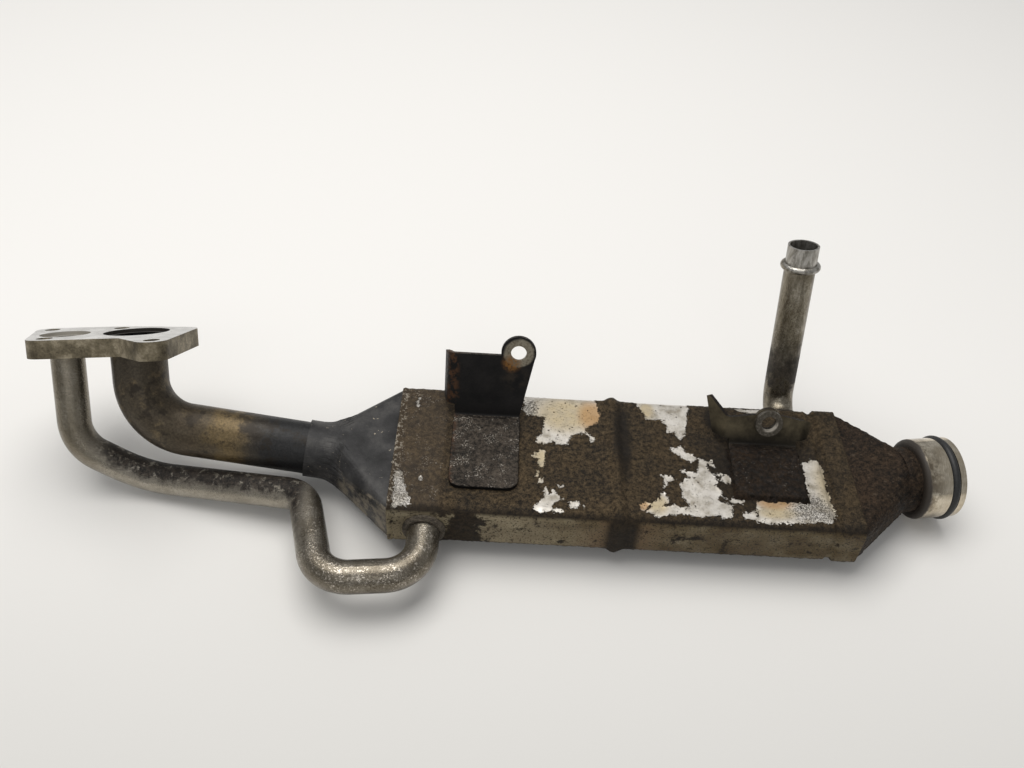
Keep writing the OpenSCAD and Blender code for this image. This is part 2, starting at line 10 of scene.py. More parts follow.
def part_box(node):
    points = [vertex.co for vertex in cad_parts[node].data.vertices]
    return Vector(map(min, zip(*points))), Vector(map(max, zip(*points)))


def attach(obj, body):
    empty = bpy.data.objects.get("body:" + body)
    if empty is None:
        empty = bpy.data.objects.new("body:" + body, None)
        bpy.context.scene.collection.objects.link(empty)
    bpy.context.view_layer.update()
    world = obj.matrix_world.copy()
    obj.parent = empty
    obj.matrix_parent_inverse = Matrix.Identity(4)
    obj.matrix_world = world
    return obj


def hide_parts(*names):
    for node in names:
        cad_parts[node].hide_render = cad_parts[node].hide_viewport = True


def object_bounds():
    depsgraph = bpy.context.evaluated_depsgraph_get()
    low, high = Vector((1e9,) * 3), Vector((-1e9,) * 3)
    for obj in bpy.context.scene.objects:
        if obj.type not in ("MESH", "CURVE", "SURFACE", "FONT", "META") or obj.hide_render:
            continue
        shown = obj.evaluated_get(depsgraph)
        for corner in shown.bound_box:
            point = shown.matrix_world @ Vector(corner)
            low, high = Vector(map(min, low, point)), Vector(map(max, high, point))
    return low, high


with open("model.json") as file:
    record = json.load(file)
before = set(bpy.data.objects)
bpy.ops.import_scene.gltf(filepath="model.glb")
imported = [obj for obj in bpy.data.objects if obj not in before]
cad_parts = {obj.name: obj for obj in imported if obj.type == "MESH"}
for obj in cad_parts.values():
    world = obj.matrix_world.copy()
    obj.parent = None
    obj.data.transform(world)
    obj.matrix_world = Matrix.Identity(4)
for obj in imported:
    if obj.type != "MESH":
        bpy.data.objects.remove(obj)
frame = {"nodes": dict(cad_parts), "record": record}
nodes = frame["nodes"]
cadLow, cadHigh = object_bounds()
scene = bpy.context.scene
millimetre = 0.001
mounts = {m["name"]: m for m in frame["record"]["mounts"]}
print("frame loaded")

# Shell end centre, where lengths along the cooler start
shellLow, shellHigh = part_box("shell")
shellStart = Vector((shellLow.x, (shellLow.y + shellHigh.y) / 2, (shellLow.z + shellHigh.z) / 2))

# Gritty oily soot and the pale specks in it; a noise is its scale, detail and roughness
sootGrain = {"lumps": (420, 6, 0.7), "grit": (1500, 4, 0.7), "broad": (45, 4, 0.6),
             "lumpShade": 0.45, "gritShade": 0.37, "broadShade": 0.18,
             "darkAt": 0.425, "middleAt": 0.5, "lightAt": 0.585, "middle": 0.36,
             "rough": (0.35, 0.65, 0.55, 0.75), "lumpHeight": 0.7, "gritHeight": 0.55}
speckGrain = {"patches": ((95, 4, 0.65), 0.48, 0.62), "specks": (1250, 2, 0.5), "low": 0.66, "high": 0.72,
              "tone": (0.3, 0.27, 0.23)}


# A procedural material in object coordinates, and the steps that build its nodes
class Look:
    def __init__(self, name):
        self.material = bpy.data.materials.new(name)
        self.material.use_nodes = True
        self.tree = self.material.node_tree
        coordinates = self.add("ShaderNodeTexCoord")
        self.point = coordinates.outputs["Object"]
        self.normal = coordinates.outputs["Normal"]

    def add(self, kind, inputs=(), **settings):
        made = self.tree.nodes.new(kind)
        for key, value in settings.items():
            setattr(made, key, value)
        for key, value in dict(inputs).items():
            self.join(made.inputs[key], value)
        return made

    def join(self, socket, value):
        if isinstance(value, bpy.types.NodeSocket):
            self.tree.links.new(value, socket)
        elif value is not None:
            if socket.type == "RGBA" and len(value) == 3:
                value = (*value, 1)
            socket.default_value = value

    def split(self, vector):
        return tuple(self.add("ShaderNodeSeparateXYZ", {0: vector}).outputs)

    def attribute(self, name):
        return self.add("ShaderNodeAttribute", attribute_name=name).outputs["Fac"]

    def vector(self, operation, a, b=None, output="Vector"):
        return self.add("ShaderNodeVectorMath", {0: a, 1: b}, operation=operation).outputs[output]

    # Distance of the point from a place, counted along an axis
    def along(self, place, axis):
        away = self.vector("SUBTRACT", self.point, tuple(place))
        return self.vector("DOT_PRODUCT", away, tuple(axis), "Value")

    # Distance of the point from an axis
    def offAxis(self, place, axis):
        away = self.vector("SUBTRACT", self.point, tuple(place))
        return self.vector("LENGTH", self.vector("CROSS_PRODUCT", away, tuple(axis)), None, "Value")

    def distance(self, place):
        return self.vector("DISTANCE", self.point, tuple(place), "Value")

    def maths(self, operation, a, b=None):
        return self.add("ShaderNodeMath", {0: a, 1: b}, operation=operation).outputs[0]

    def plus(self, a, b):
        return self.maths("ADD", a, b)

    def minus(self, a, b):
        return self.maths("SUBTRACT", a, b)

    def times(self, a, b):
        return self.maths("MULTIPLY", a, b)

    def apart(self, a, b):
        return self.maths("ABSOLUTE", self.minus(a, b))

    # Noise value turned into a swing either way
    def swing(self, value, reach):
        return self.times(self.minus(value, 0.5), reach)

    def ranged(self, value, low, high, toLow=0, toHigh=1):
        made = self.add("ShaderNodeMapRange", {0: value, 1: low, 2: high, 3: toLow, 4: toHigh})
        made.interpolation_type = "SMOOTHSTEP"
        return made.outputs[0]

    # The same between two places in millimetres
    def spanned(self, value, span, toLow=0, toHigh=1):
        return self.ranged(value, span[0] * millimetre, span[1] * millimetre, toLow, toHigh)

    def grain(self, scale, detail, rough, stretch=None):
        vector = self.vector("MULTIPLY", self.point, stretch) if stretch else self.point
        made = self.add("ShaderNodeTexNoise", {"Vector": vector, "Scale": scale, "Detail": detail,
                                               "Roughness": rough})
        return made.outputs["Fac"]

    # Patches where a noise passes from one value to another
    def patches(self, pattern, low, high, toLow=0, toHigh=1):
        return self.ranged(self.grain(*pattern), low, high, toLow, toHigh)

    def mixed(self, share, a, b, blend="MIX"):
        made = self.add("ShaderNodeMix", data_type="RGBA", blend_type=blend)
        self.join(made.inputs["Factor"], share)
        self.join(made.inputs[6], a)
        self.join(made.inputs[7], b)
        return made.outputs[2]

    def ramp(self, value, stops):
        made = self.add("ShaderNodeValToRGB", {"Fac": value})
        elements = made.color_ramp.elements
        while len(elements) < len(stops):
            elements.new(1)
        for element, (place, colour) in zip(elements, stops):
            element.position = place
            element.color = (*colour, 1)
        return made.outputs["Color"]

    # Colour multiplied by tones that follow a noise
    def toned(self, share, colour, value, tones):
        return self.mixed(share, colour, self.ramp(value, tones), "MULTIPLY")

    def bumped(self, height, distance):
        made = self.add("ShaderNodeBump", {"Height": height, "Distance": distance * millimetre})
        return made.outputs["Normal"]

    # Soft round spot between two radii in millimetres
    def spot(self, centre, radii):
        return self.spanned(self.distance(centre), radii, 1, 0)

    # Colour, roughness and height of soot
    def soot(self, dark, light):
        s = sootGrain
        lumps, grit, broad = self.grain(*s["lumps"]), self.grain(*s["grit"]), self.grain(*s["broad"])
        shade = self.plus(self.times(lumps, s["lumpShade"]), self.times(grit, s["gritShade"]))
        shade = self.plus(shade, self.times(broad, s["broadShade"]))
        middle = tuple(a * (1 - s["middle"]) + b * s["middle"] for a, b in zip(dark, light))
        colour = self.ramp(shade, [(s["darkAt"], dark), (s["middleAt"], middle), (s["lightAt"], light)])
        height = self.plus(self.times(lumps, s["lumpHeight"]), self.times(grit, s["gritHeight"]))
        return colour, self.ranged(broad, *s["rough"]), height

    def paleSpecks(self, colour, share, tone=speckGrain["tone"]):
        s = speckGrain
        specks = self.patches(s["specks"], s["low"] - share, s["high"] - share)
        return self.mixed(self.times(specks, self.patches(*s["patches"])), colour, tone)

    def finish(self, **inputs):
        shader = self.tree.nodes["Principled BSDF"]
        for key, value in inputs.items():
            self.join(shader.inputs[key.replace("_", " ")], value)
        return self.material


def dress(names, material):
    for name in names:
        mesh = nodes[name].data
        mesh.materials.clear()
        mesh.materials.append(material)


# Soot, with worn spots or pale specks where a look has them
def sootyMaterial(name, s):
    m = Look(name)
    colour, rough, height = m.soot(*s["soot"])
    if "worn" in s:
        colour = m.mixed(m.times(m.patches(*s["worn"]), s["wornShare"]), colour, s["wornTone"])
    if "specks" in s:
        colour = m.paleSpecks(colour, *s["specks"])
    return m.finish(Base_Color=colour, Roughness=rough, Metallic=s["metallic"],
                    Specular_IOR_Level=s["specular"], Normal=m.bumped(height, s["bump"]))


# Merge distances in metres; dimension, lacunarity and octaves of the raised lumps
meshing = {"copyMerge": 2e-6, "gridMerge": 1e-7, "lumps": (0.9, 2.1, 4)}


def lump(p):
    return noise.fractal(p, *meshing["lumps"])


def smoothStep(t):
    return t * t * (3 - 2 * t)


def nodeCopy(name):
    bm = bmesh.new()
    bm.from_mesh(nodes[name].data)
    bmesh.ops.remove_doubles(bm, verts=bm.verts, dist=meshing["copyMerge"])
    return bm


def cutFiner(bm, s, wanted):
    for step in range(s["passes"]):
        longEdges = [e for e in bm.edges if e.calc_length() > s["longest"] * millimetre and wanted(e)]
        if not longEdges:
            break
        bmesh.ops.subdivide_edges(bm, edges=longEdges, cuts=1, use_single_edge=True)
        bmesh.ops.triangulate(bm, faces=[f for f in bm.faces if len(f.verts) > 3])
    bm.normal_update()


def smoothFaces(bm, crease=None):
    for edge in bm.edges:
        edge.smooth = crease is None or edge.calc_face_angle(0) < crease
    for face in bm.faces:
        face.smooth = True


def meshObject(bm, title, material):
    mesh = bpy.data.meshes.new(title)
    bm.to_mesh(mesh)
    bm.free()
    mesh.materials.append(material)
    made = bpy.data.objects.new(title, mesh)
    scene.collection.objects.link(made)
    return made


# Shell skin: the pressed steel shell with its baked crust, which has flaked off in patches
shellSkin = {
    "length": 260, "width": 93, "depth": 29, "corner": 6, "sheet": 1.5,
    "inletCollar": 27, "inletRise": 1.2, "collarSlope": 4,
    "bead": 125.5, "beadRise": 2.2, "beadHalf": 6,
    "groove": 245, "grooveFloor": 0.8, "grooveHalf": 3, "grooveDepth": 1.2,
    "outletCollar": 248.5, "outletSlope": 2, "outletRise": 0.8,
    "rings": 340, "innerRings": 50, "endStep": 0.4,
    "crust": 0.36, "crustScale": 0.5, "crustBase": 0.75, "crustLumps": 0.8, "crustMost": 0.75,
    "sideThinner": 0.75, "sideNormal": (0.75, 0.97), "flakeEdge": (-0.9, 0.5), "unroll": 0.57,
    "unpatched": -30, "patchedNormal": 0.2,
    # Weld lip at the inlet end and the hollow behind it: height, place, width
    "lip": ((0.45, 1.2, 0.9), (-0.35, 3.4, 0.8)),
    # Points on each flat and corner, from the broad face over the far side and under to the near side
    "points": {"top": 112, "topFar": 9, "far": 14, "lowFar": 5, "low": 30, "lowNear": 7, "near": 24,
               "topNear": 11},
}

# Bare patches on the broad face: place along the shell, place across it
barePatches = {
    "upperLeft": [(73, 46), (94.5, 47.5), (115, 47), (117.5, 31.5), (115.5, 24), (108.5, 19.5), (109, 15.5),
                  (102.5, 15), (99.5, 10), (98.5, 6), (91.5, 6), (90, 8.5), (85, 5), (80.5, 7), (82.5, 13.5),
                  (84.5, 20.5), (84, 27), (73.5, 28), (71.5, 33)],
    "upperLeftTail": [(109.5, 15.5), (113.5, 13.5), (114, 10), (112.5, 9.5)],
    "streak": [(82.5, 1.5), (85, 0.5), (85, -11.5), (83, -12.5), (81.5, -19.5), (79.5, -19.5), (82, -12),
               (81.5, -6), (78.5, -4)],
    "streakFoot": [(81.5, -20), (84.5, -20), (84.5, -23.5), (81, -23.5)],
    "lowerLeft": [(85.5, -27), (87.5, -28), (88, -33), (89, -28), (91.5, -28), (92.5, -32), (95.5, -34),
                  (90.5, -36.5), (89.5, -40.5), (96.5, -41), (96.5, -43), (82.5, -43), (77.5, -40.5),
                  (79.5, -38), (84.5, -35.5)],
    "lowerLeftBit": [(99, -36.5), (103.5, -35.5), (103, -39), (99, -40.5)],
    "lowerLeftChip": [(105.5, -40), (107, -37.5), (108.5, -41.5)],
    "lowerLeftDot": [(91.5, -23.5), (95, -25), (92.5, -26.5)],
    "upperRight": [(138, 47), (171, 48), (171, 39.5), (168.5, 27), (166.5, 17), (164, 14.5), (162, 15),
                   (161, 20), (157.5, 20.5), (156, 27), (153.5, 30), (145.5, 29.5), (143.5, 36.5)],
    "middleTop": [(157.5, 7), (162, 9.5), (166, 9), (167.5, 4.5), (172.5, 0.5), (168.5, -3), (165, -1),
                  (160, 3.5)],
    "middle": [(171.5, -5.5), (173, -1), (176, 1.5), (178, -0.5), (177, -6), (182, -13), (180, -18.5),
               (182.5, -23), (182, -29), (188.5, -32), (187, -41), (182, -42), (181.5, -39), (172, -41.5),
               (164, -41), (145.5, -42.5), (146, -37), (156.5, -34.5), (163, -36.5), (164.5, -34), (162, -30),
               (161, -26), (162.5, -23), (160, -20.5), (163.5, -15), (167, -13.5), (160, -8), (166, -9),
               (171, -10)],
    "middleDot": [(178.5, -2), (180.5, -1), (181.5, -5), (178.5, -4.5)],
    "middleWisp": [(181, -10), (185.5, -10), (190.5, -11.5), (192, -17.5), (187, -17), (182.5, -11.5)],
    "middleBit": [(150.5, -13), (157, -14), (158.5, -16), (154.5, -18), (154, -21), (151.5, -22.5),
                  (152.5, -17.5)],
    "middleLeft": [(150, -25.5), (152, -26), (154, -31.5), (150.5, -34.5), (145.5, -41), (139.5, -40.5),
                   (144, -33.5), (149, -29.5)],
    "middleLeftTip": [(137, -36), (140.5, -33.5), (142.5, -34.5), (141.5, -38.5), (138, -38.5)],
    "middleRight": [(182, -26), (187, -28.5), (192.5, -25.5), (196, -28), (194, -31.5), (188.5, -30.5)],
    "right": [(202, -27.5), (212.5, -27.5), (221, -23.5), (227.5, -18.5), (228, -7.5), (232.5, -5), (233, 3),
              (241, 4), (245, 2), (244.5, -10), (244, -22), (245, -34.5), (242, -41), (224, -42.5),
              (200.5, -43)],
    "rightLeft": [(193, -37), (197.5, -37), (201.5, -34), (200.5, -41.5), (194, -41)],
    "inletCorner": [(2, -22), (4, -20), (7, -25), (9, -33), (12, -40), (13, -44), (3, -45)],
    "inletScratch": [(9.8, 35), (11, 36), (10.4, 29), (9.6, 28)],
    "inletMark": [(15.8, -25), (18.2, -24.6), (17.8, -27.6), (16.6, -27.4)],
    "behindRear": [(200, 42.5), (206.5, 43.5), (215.5, 43.5), (219, 42.5), (212.5, 39.5), (204, 39.5)],
}

# Soft spots on the broad face: centre along and across, half sizes
shellSpots = {
    "orange": [(113, 30, 9, 14), (212, -29, 12, 5), (224, -23, 6, 5), (139, -36, 4, 4)],
    "yellow": [(250, -14, 14, 24), (82, -8, 6, 16), (147, -34, 7, 8), (146, 37, 5, 8), (212, -36, 12, 5),
               (97, 30, 20, 16)],
    "speckle": [(233, -32, 15, 12), (76, 34, 6, 8), (7, -34, 9, 15), (10, 32, 5, 8), (17, -26, 5, 5)],
    "oily": [(208, -6, 38, 34), (52, 16, 22, 9), (130, 10, 6, 34), (186, 32, 8, 11)],
}
spotEdge = (0.45, 1.25)


def stepUp(x, low, high):
    return smoothStep(np.clip((x - low) / (high - low), 0, 1))


def softSpots(x, y, spots):
    total = np.zeros_like(x)
    for cx, cy, rx, ry in spots:
        reach = np.sqrt(((x - cx) / rx) ** 2 + ((y - cy) / ry) ** 2)
        total = np.maximum(total, 1 - stepUp(reach, *spotEdge))
    return total


# Distance inside a closed outline, negative outside it
def insideDistance(x, y, outline):
    best = np.full(x.shape, np.inf)
    inside = np.zeros(x.shape, bool)
    for (ax, ay), (bx, by) in zip(outline, outline[1:] + outline[:1]):
        dx, dy = bx - ax, by - ay
        t = np.clip(((x - ax) * dx + (y - ay) * dy) / (dx * dx + dy * dy), 0, 1)
        best = np.minimum(best, np.hypot(x - ax - t * dx, y - ay - t * dy))
        if dy:
            inside ^= ((ay > y) != (by > y)) & (x < dx * (y - ay) / dy + ax)
    return np.where(inside, best, -best)


# Height of the pressed wall above the plain section, along the shell
def wallRise(x, s):
    rise = s["inletRise"] * (1 - stepUp(x, s["inletCollar"], s["inletCollar"] + s["collarSlope"]))
    rise = rise + s["beadRise"] * np.cos(np.clip((x - s["bead"]) / s["beadHalf"], -1, 1) * math.pi / 2) ** 2
    rise = rise - s["grooveDepth"] * (1 - stepUp(np.abs(x - s["groove"]), s["grooveFloor"], s["grooveHalf"]))
    return rise + s["outletRise"] * stepUp(x, s["outletCollar"] - s["outletSlope"], s["outletCollar"])


# Points round the section: place across and up, and outward normal
def sectionPoints(s):
    halfW, halfD, r = s["width"] / 2, s["depth"] / 2, s["corner"]
    flatW, flatD = halfW - r, halfD - r
    count = s["points"]
    points = []

    def flat(a, b, normal, steps):
        for t in np.linspace(0, 1, steps, endpoint=False):
            points.append((a[0] + (b[0] - a[0]) * t, a[1] + (b[1] - a[1]) * t, *normal))

    def turn(centre, start, steps):
        for t in np.linspace(0, 1, steps, endpoint=False):
            angle = math.radians(start - 90 * t)
            c, q = math.cos(angle), math.sin(angle)
            points.append((centre[0] + r * c, centre[1] + r * q, c, q))

    flat((-flatW, halfD), (flatW, halfD), (0, 1), count["top"])
    turn((flatW, flatD), 90, count["topFar"])
    flat((halfW, flatD), (halfW, -flatD), (1, 0), count["far"])
    turn((flatW, -flatD), 0, count["lowFar"])
    flat((flatW, -halfD), (-flatW, -halfD), (0, -1), count["low"])
    turn((-flatW, -flatD), -90, count["lowNear"])
    flat((-halfW, -flatD), (-halfW, flatD), (-1, 0), count["near"])
    turn((-flatW, flatD), 180, count["topNear"])
    return np.array(points)


def buildShellSkin(s, material):
    section = sectionPoints(s)
    around = len(section)
    # Rings run along the outside and back along the inside
    outerRings = np.concatenate([[0], np.linspace(s["endStep"], s["length"] - s["endStep"], s["rings"]),
                                 [s["length"]]])
    along = np.concatenate([outerRings, np.linspace(s["length"], 0, s["innerRings"])])
    total, outside = len(along), len(outerRings)
    x = np.repeat(along[:, None], around, 1)
    y0, z0, ny, nz = (np.repeat(section[None, :, k], total, 0) for k in range(4))
    rise = wallRise(x, s)
    # Unrolled place across, so that patches run on over the rounded edges
    across = y0 - np.where(nz > 0, (1 - nz) * s["corner"] * s["unroll"] * np.sign(-ny), 0)
    bare = np.full(x.shape, float(s["unpatched"]))
    for outline in barePatches.values():
        bare = np.maximum(bare, insideDistance(x, across, outline))
    bare = np.where(nz > s["patchedNormal"], bare, s["unpatched"])
    onSide = stepUp(-ny, *s["sideNormal"])
    crust = np.zeros(x.shape)
    for i in range(outside):
        for j in range(around):
            crust[i, j] = lump(Vector((x[i, j], y0[i, j], z0[i, j])) * s["crustScale"])
    thick = s["crust"] * (1 - stepUp(bare, *s["flakeEdge"])) * (1 - s["sideThinner"] * onSide)
    thick = thick * (s["crustBase"] + s["crustLumps"] * crust)
    lip = sum(high * np.exp(-((x - place) / wide) ** 2) for high, place, wide in s["lip"])
    offset = rise + np.clip(thick, 0, s["crustMost"]) + lip
    offset[outside:] = rise[outside:] - s["sheet"]
    place = np.stack([x, y0 + ny * offset, z0 + nz * offset], -1) * millimetre + np.array(shellStart)

    bm = bmesh.new()
    bmesh.ops.create_grid(bm, x_segments=total, y_segments=around, size=1)
    fields = {"bare": bare, "onSide": onSide}
    fields.update({name: softSpots(x, across, spots) for name, spots in shellSpots.items()})
    layers = {name: bm.verts.layers.float.new(name) for name in fields}
    for v in bm.verts:
        i, j = round((v.co.x + 1) / 2 * total) % total, round((v.co.y + 1) / 2 * around) % around
        v.co = place[i, j]
        for name, values in fields.items():
            v[layers[name]] = values[i, j]
    bmesh.ops.remove_doubles(bm, verts=bm.verts, dist=meshing["gridMerge"])
    bmesh.ops.recalc_face_normals(bm, faces=bm.faces)
    smoothFaces(bm)
    return meshObject(bm, "shellSkin", material)


# Spans are in millimetres from the shell's inlet end
shellLook = {
    "soot": ((0.0066, 0.0046, 0.0026), (0.1, 0.07, 0.038)),
    "farHalf": (115, 150), "farShare": 0.22, "farSoot": (0.017, 0.0118, 0.0062),
    "collar": (24, 34), "collarShare": 0.3, "collarSoot": (0.088, 0.068, 0.05),
    "collarSpecks": (0.07, (0.22, 0.19, 0.155)),
    "rim": (2, 6), "chips": ((420, 4, 0.65), 0.54, 0.6), "chip": (0.27, 0.24, 0.195),
    "oilShare": 0.85, "oil": (0.009, 0.007, 0.0052),
    "nearRim": (-45.5, -41.5), "nearRimShare": 0.7, "nearRimSoot": (0.011, 0.0085, 0.0065),
    # Flake edges and the soot left on the bare metal
    "jag": (230, 6, 0.72), "jagReach": 9, "fineJag": (900, 3, 0.6), "fineJagReach": 4, "flakeEdge": 0.12,
    "speckNoise": (1500, 4, 0.65), "speckBase": 0.36, "speckMore": 0.12, "speckEdge": (-0.04, 0.06, 1.0, 0.35),
    "dots": ((480, 1.5, 0.5), 0.27, 0.3, 0.1, 1.0),
    # Bare metal and its heat tints
    "blotch": (130, 4, 0.6),
    "metal": [(0.34, (0.33, 0.295, 0.24)), (0.5, (0.55, 0.515, 0.46)), (0.66, (0.65, 0.615, 0.565))],
    "yellowBlotch": (0.3, 0.6, 0.5, 1.0), "yellowShare": 0.75, "yellow": (0.44, 0.34, 0.17),
    "orangeShare": 0.8, "orange": (0.42, 0.24, 0.09),
    # Near side
    "stains": (85, 5, 0.6, (0.6, 1, 1)),
    "dull": [(0.36, (0.085, 0.056, 0.024)), (0.5, (0.16, 0.125, 0.068)), (0.64, (0.275, 0.232, 0.15))],
    "mottle": (650, 5, 0.65), "mottleShare": 0.6,
    "mottleTones": [(0.3, (0.55, 0.53, 0.5)), (0.7, (1.3, 1.3, 1.3))],
    "bead": 128.5, "beadBrownReach": (10, 34), "beadBrownShare": 0.9, "beadStains": (0.38, 0.56),
    "beadBrown": (0.13, 0.082, 0.04), "beadSootReach": (6, 12),
    "brownSpan": (120, 190), "brownShare": 0.5, "brown": (0.07, 0.046, 0.019),
    "paleSpan": (60, 125), "paleShare": 0.5, "pale": (0.33, 0.28, 0.185),
    "pits": ((900, 3, 0.6), 0.38, 0.45, 0.85, 0), "pit": (0.02, 0.015, 0.01),
    "socketSoot": 42, "socketSootReach": (9, 16), "socketSootNoise": (120, 5, 0.7), "socketSootWander": 60,
    "thinSoot": ((110, 6, 0.72), 0.34, 0.44),
    # Surface
    "bareSmoother": -0.24, "bareSunk": -0.9, "sideShine": 0.8, "metallic": 0.35, "specular": (0.16, 0.4),
    "bump": 0.6,
}


def shellMaterial(s):
    m = Look("shellSoot")
    x, y = m.split(m.point)[:2]

    def spanned(span, toLow, toHigh):
        return m.ranged(x, *(shellStart.x + place * millimetre for place in span), toLow, toHigh)

    def fromPlace(value, place, reach, share):
        return m.spanned(m.apart(value, shellStart.x + place * millimetre), reach, share, 0)

    soot, sootRough, sootHeight = m.soot(*s["soot"])
    soot = m.mixed(spanned(s["farHalf"], 0, s["farShare"]), soot, s["farSoot"])
    collar = spanned(s["collar"], 1, 0)
    soot = m.mixed(m.times(collar, s["collarShare"]), soot, s["collarSoot"])
    soot = m.mixed(collar, soot, m.paleSpecks(soot, *s["collarSpecks"]))
    soot = m.mixed(m.times(spanned(s["rim"], 1, 0), m.patches(*s["chips"])), soot, s["chip"])
    soot = m.mixed(m.times(m.attribute("oily"), s["oilShare"]), soot, s["oil"])
    near = [shellStart.y + place * millimetre for place in s["nearRim"]]
    soot = m.mixed(m.ranged(y, *near, s["nearRimShare"], 0), soot, s["nearRimSoot"])
    # Jagged flake edges: the smooth distance broken up by noise, with specks of soot left inside
    jag = m.swing(m.grain(*s["jag"]), s["jagReach"])
    fineJag = m.swing(m.grain(*s["fineJag"]), s["fineJagReach"])
    edge = m.plus(m.attribute("bare"), m.plus(jag, fineJag))
    bare = m.ranged(edge, -s["flakeEdge"], s["flakeEdge"])
    speckSize = m.plus(m.times(m.attribute("speckle"), s["speckMore"]), s["speckBase"])
    left = m.minus(speckSize, m.grain(*s["speckNoise"]))
    bare = m.times(bare, m.ranged(left, *s["speckEdge"]))
    bare = m.times(bare, m.patches(*s["dots"]))
    blotch = m.grain(*s["blotch"])
    metal = m.ramp(blotch, s["metal"])
    yellow = m.times(m.attribute("yellow"), m.ranged(blotch, *s["yellowBlotch"]))
    metal = m.mixed(m.times(yellow, s["yellowShare"]), metal, s["yellow"])
    metal = m.mixed(m.times(m.attribute("orange"), s["orangeShare"]), metal, s["orange"])
    # Near side: dull olive metal, stained brown, with pits and thin soot
    stains = m.grain(*s["stains"])
    dull = m.toned(s["mottleShare"], m.ramp(stains, s["dull"]), m.grain(*s["mottle"]), s["mottleTones"])
    byBead = m.times(fromPlace(x, s["bead"], s["beadBrownReach"], s["beadBrownShare"]),
                     m.ranged(stains, *s["beadStains"]))
    dull = m.mixed(byBead, dull, s["beadBrown"])
    dull = m.mixed(spanned(s["brownSpan"], 0, s["brownShare"]), dull, s["brown"])
    dull = m.mixed(spanned(s["paleSpan"], s["paleShare"], 0), dull, s["pale"])
    dull = m.mixed(m.patches(*s["pits"]), dull, s["pit"])
    wander = m.swing(m.grain(*s["socketSootNoise"]), s["socketSootWander"] * millimetre)
    socketSoot = fromPlace(m.plus(x, wander), s["socketSoot"], s["socketSootReach"], 1.0)
    beadSoot = fromPlace(x, s["bead"], s["beadSootReach"], 1.0)
    clean = m.times(m.attribute("onSide"), m.minus(1, m.maths("MAXIMUM", socketSoot, beadSoot)))
    clean = m.times(clean, m.patches(*s["thinSoot"]))
    shine = m.maths("MAXIMUM", bare, m.times(clean, s["sideShine"]))
    height = m.plus(m.times(bare, s["bareSunk"]), m.times(sootHeight, m.minus(1, bare)))
    return m.finish(Base_Color=m.mixed(bare, m.mixed(clean, soot, dull), metal),
                    Roughness=m.plus(m.times(bare, s["bareSmoother"]), sootRough),
                    Metallic=m.times(shine, s["metallic"]),
                    Specular_IOR_Level=m.ranged(shine, 0, 1, *s["specular"]),
                    Normal=m.bumped(height, s["bump"]))


skin = buildShellSkin(shellSkin, shellMaterial(shellLook))
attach(skin, "root")
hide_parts("shell")
print("shell skin built")

# Inlet cone: smooth scorched sheet, pale on its near panel, with the neck run into it in a soft pressed curve
inletNeck = {"mouth": (94.6, -29, -56.8), "axis": (0.9885, 0, -0.1513), "neck": 16, "reach": 8, "longest": 1.4,
             "outerLeast": 3, "passes": 7, "rounds": 70, "softness": 0.5, "crease": 0.7}
inletConeLook = {
    "broad": (60, 5, 0.6), "fine": (900, 4, 0.65),
    "sheet": [(0.32, (0.012, 0.0115, 0.0115)), (0.5, (0.032, 0.031, 0.031)), (0.68, (0.068, 0.065, 0.062))],
    "fineShare": 0.6, "fineTones": [(0.3, (0.5, 0.5, 0.5)), (0.7, (1.3, 1.3, 1.3))],
    "flakes": ((520, 3, 0.55), 0.7, 0.72), "flake": (0.3, 0.26, 0.2),
    "nearNormal": (-0.72, -0.64), "nearFrom": (113, 119), "grime": ((150, 5, 0.7), 0.38, 0.6),
    "nearShare": 0.85, "nearTone": (0.24, 0.205, 0.152),
    "rough": (0.3, 0.7, 0.42, 0.6), "metallic": 0.2, "specular": 0.3, "bump": 0.2,
}


def inletConeMaterial(s):
    m = Look("scorchedSheet")
    fine = m.grain(*s["fine"])
    colour = m.toned(s["fineShare"], m.ramp(m.grain(*s["broad"]), s["sheet"]), fine, s["fineTones"])
    colour = m.mixed(m.patches(*s["flakes"]), colour, s["flake"])
    near = m.times(m.ranged(m.split(m.normal)[1], *s["nearNormal"], 1, 0),
                   m.spanned(m.split(m.point)[0], s["nearFrom"]))
    near = m.times(near, m.patches(*s["grime"]))
    colour = m.mixed(m.times(near, s["nearShare"]), colour, s["nearTone"])
    return m.finish(Base_Color=colour, Roughness=m.ranged(fine, *s["rough"]), Metallic=s["metallic"],
                    Specular_IOR_Level=s["specular"], Normal=m.bumped(fine, s["bump"]))


def buildInletCone(s, material):
    mouth, axis = Vector(s["mouth"]) * millimetre, Vector(s["axis"])
    reach = s["reach"] * millimetre
    bm = nodeCopy("inlet_diffuser")

    def fromSeam(v):
        return abs((v.co - mouth).dot(axis) - s["neck"] * millimetre)

    cutFiner(bm, s, lambda e: min(fromSeam(v) for v in e.verts) < reach)
    outer = []
    for v in bm.verts:
        away = v.co - mouth
        outwards = away - axis * away.dot(axis)
        if fromSeam(v) < reach and outwards.dot(v.normal) > s["outerLeast"] * millimetre:
            outer.append((v, v.co.copy(), outwards.normalized()))
    for step in range(s["rounds"]):
        bmesh.ops.smooth_vert(bm, verts=[v for v, place, outwards in outer], factor=s["softness"],
                              use_axis_x=True, use_axis_y=True, use_axis_z=True)
    # The curve only fills the hollow
    for v, place, outwards in outer:
        v.co = place + outwards * max(0, (v.co - place).dot(outwards))
    bm.normal_update()
    smoothFaces(bm, s["crease"])
    return meshObject(bm, "scorchedCone", material)


scorchedSheet = inletConeMaterial(inletConeLook)
dress(["inlet_diffuser"], scorchedSheet)
scorchedCone = buildInletCone(inletNeck, scorchedSheet)
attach(scorchedCone, "root")
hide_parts("inlet_diffuser")
print("inlet cone curved")


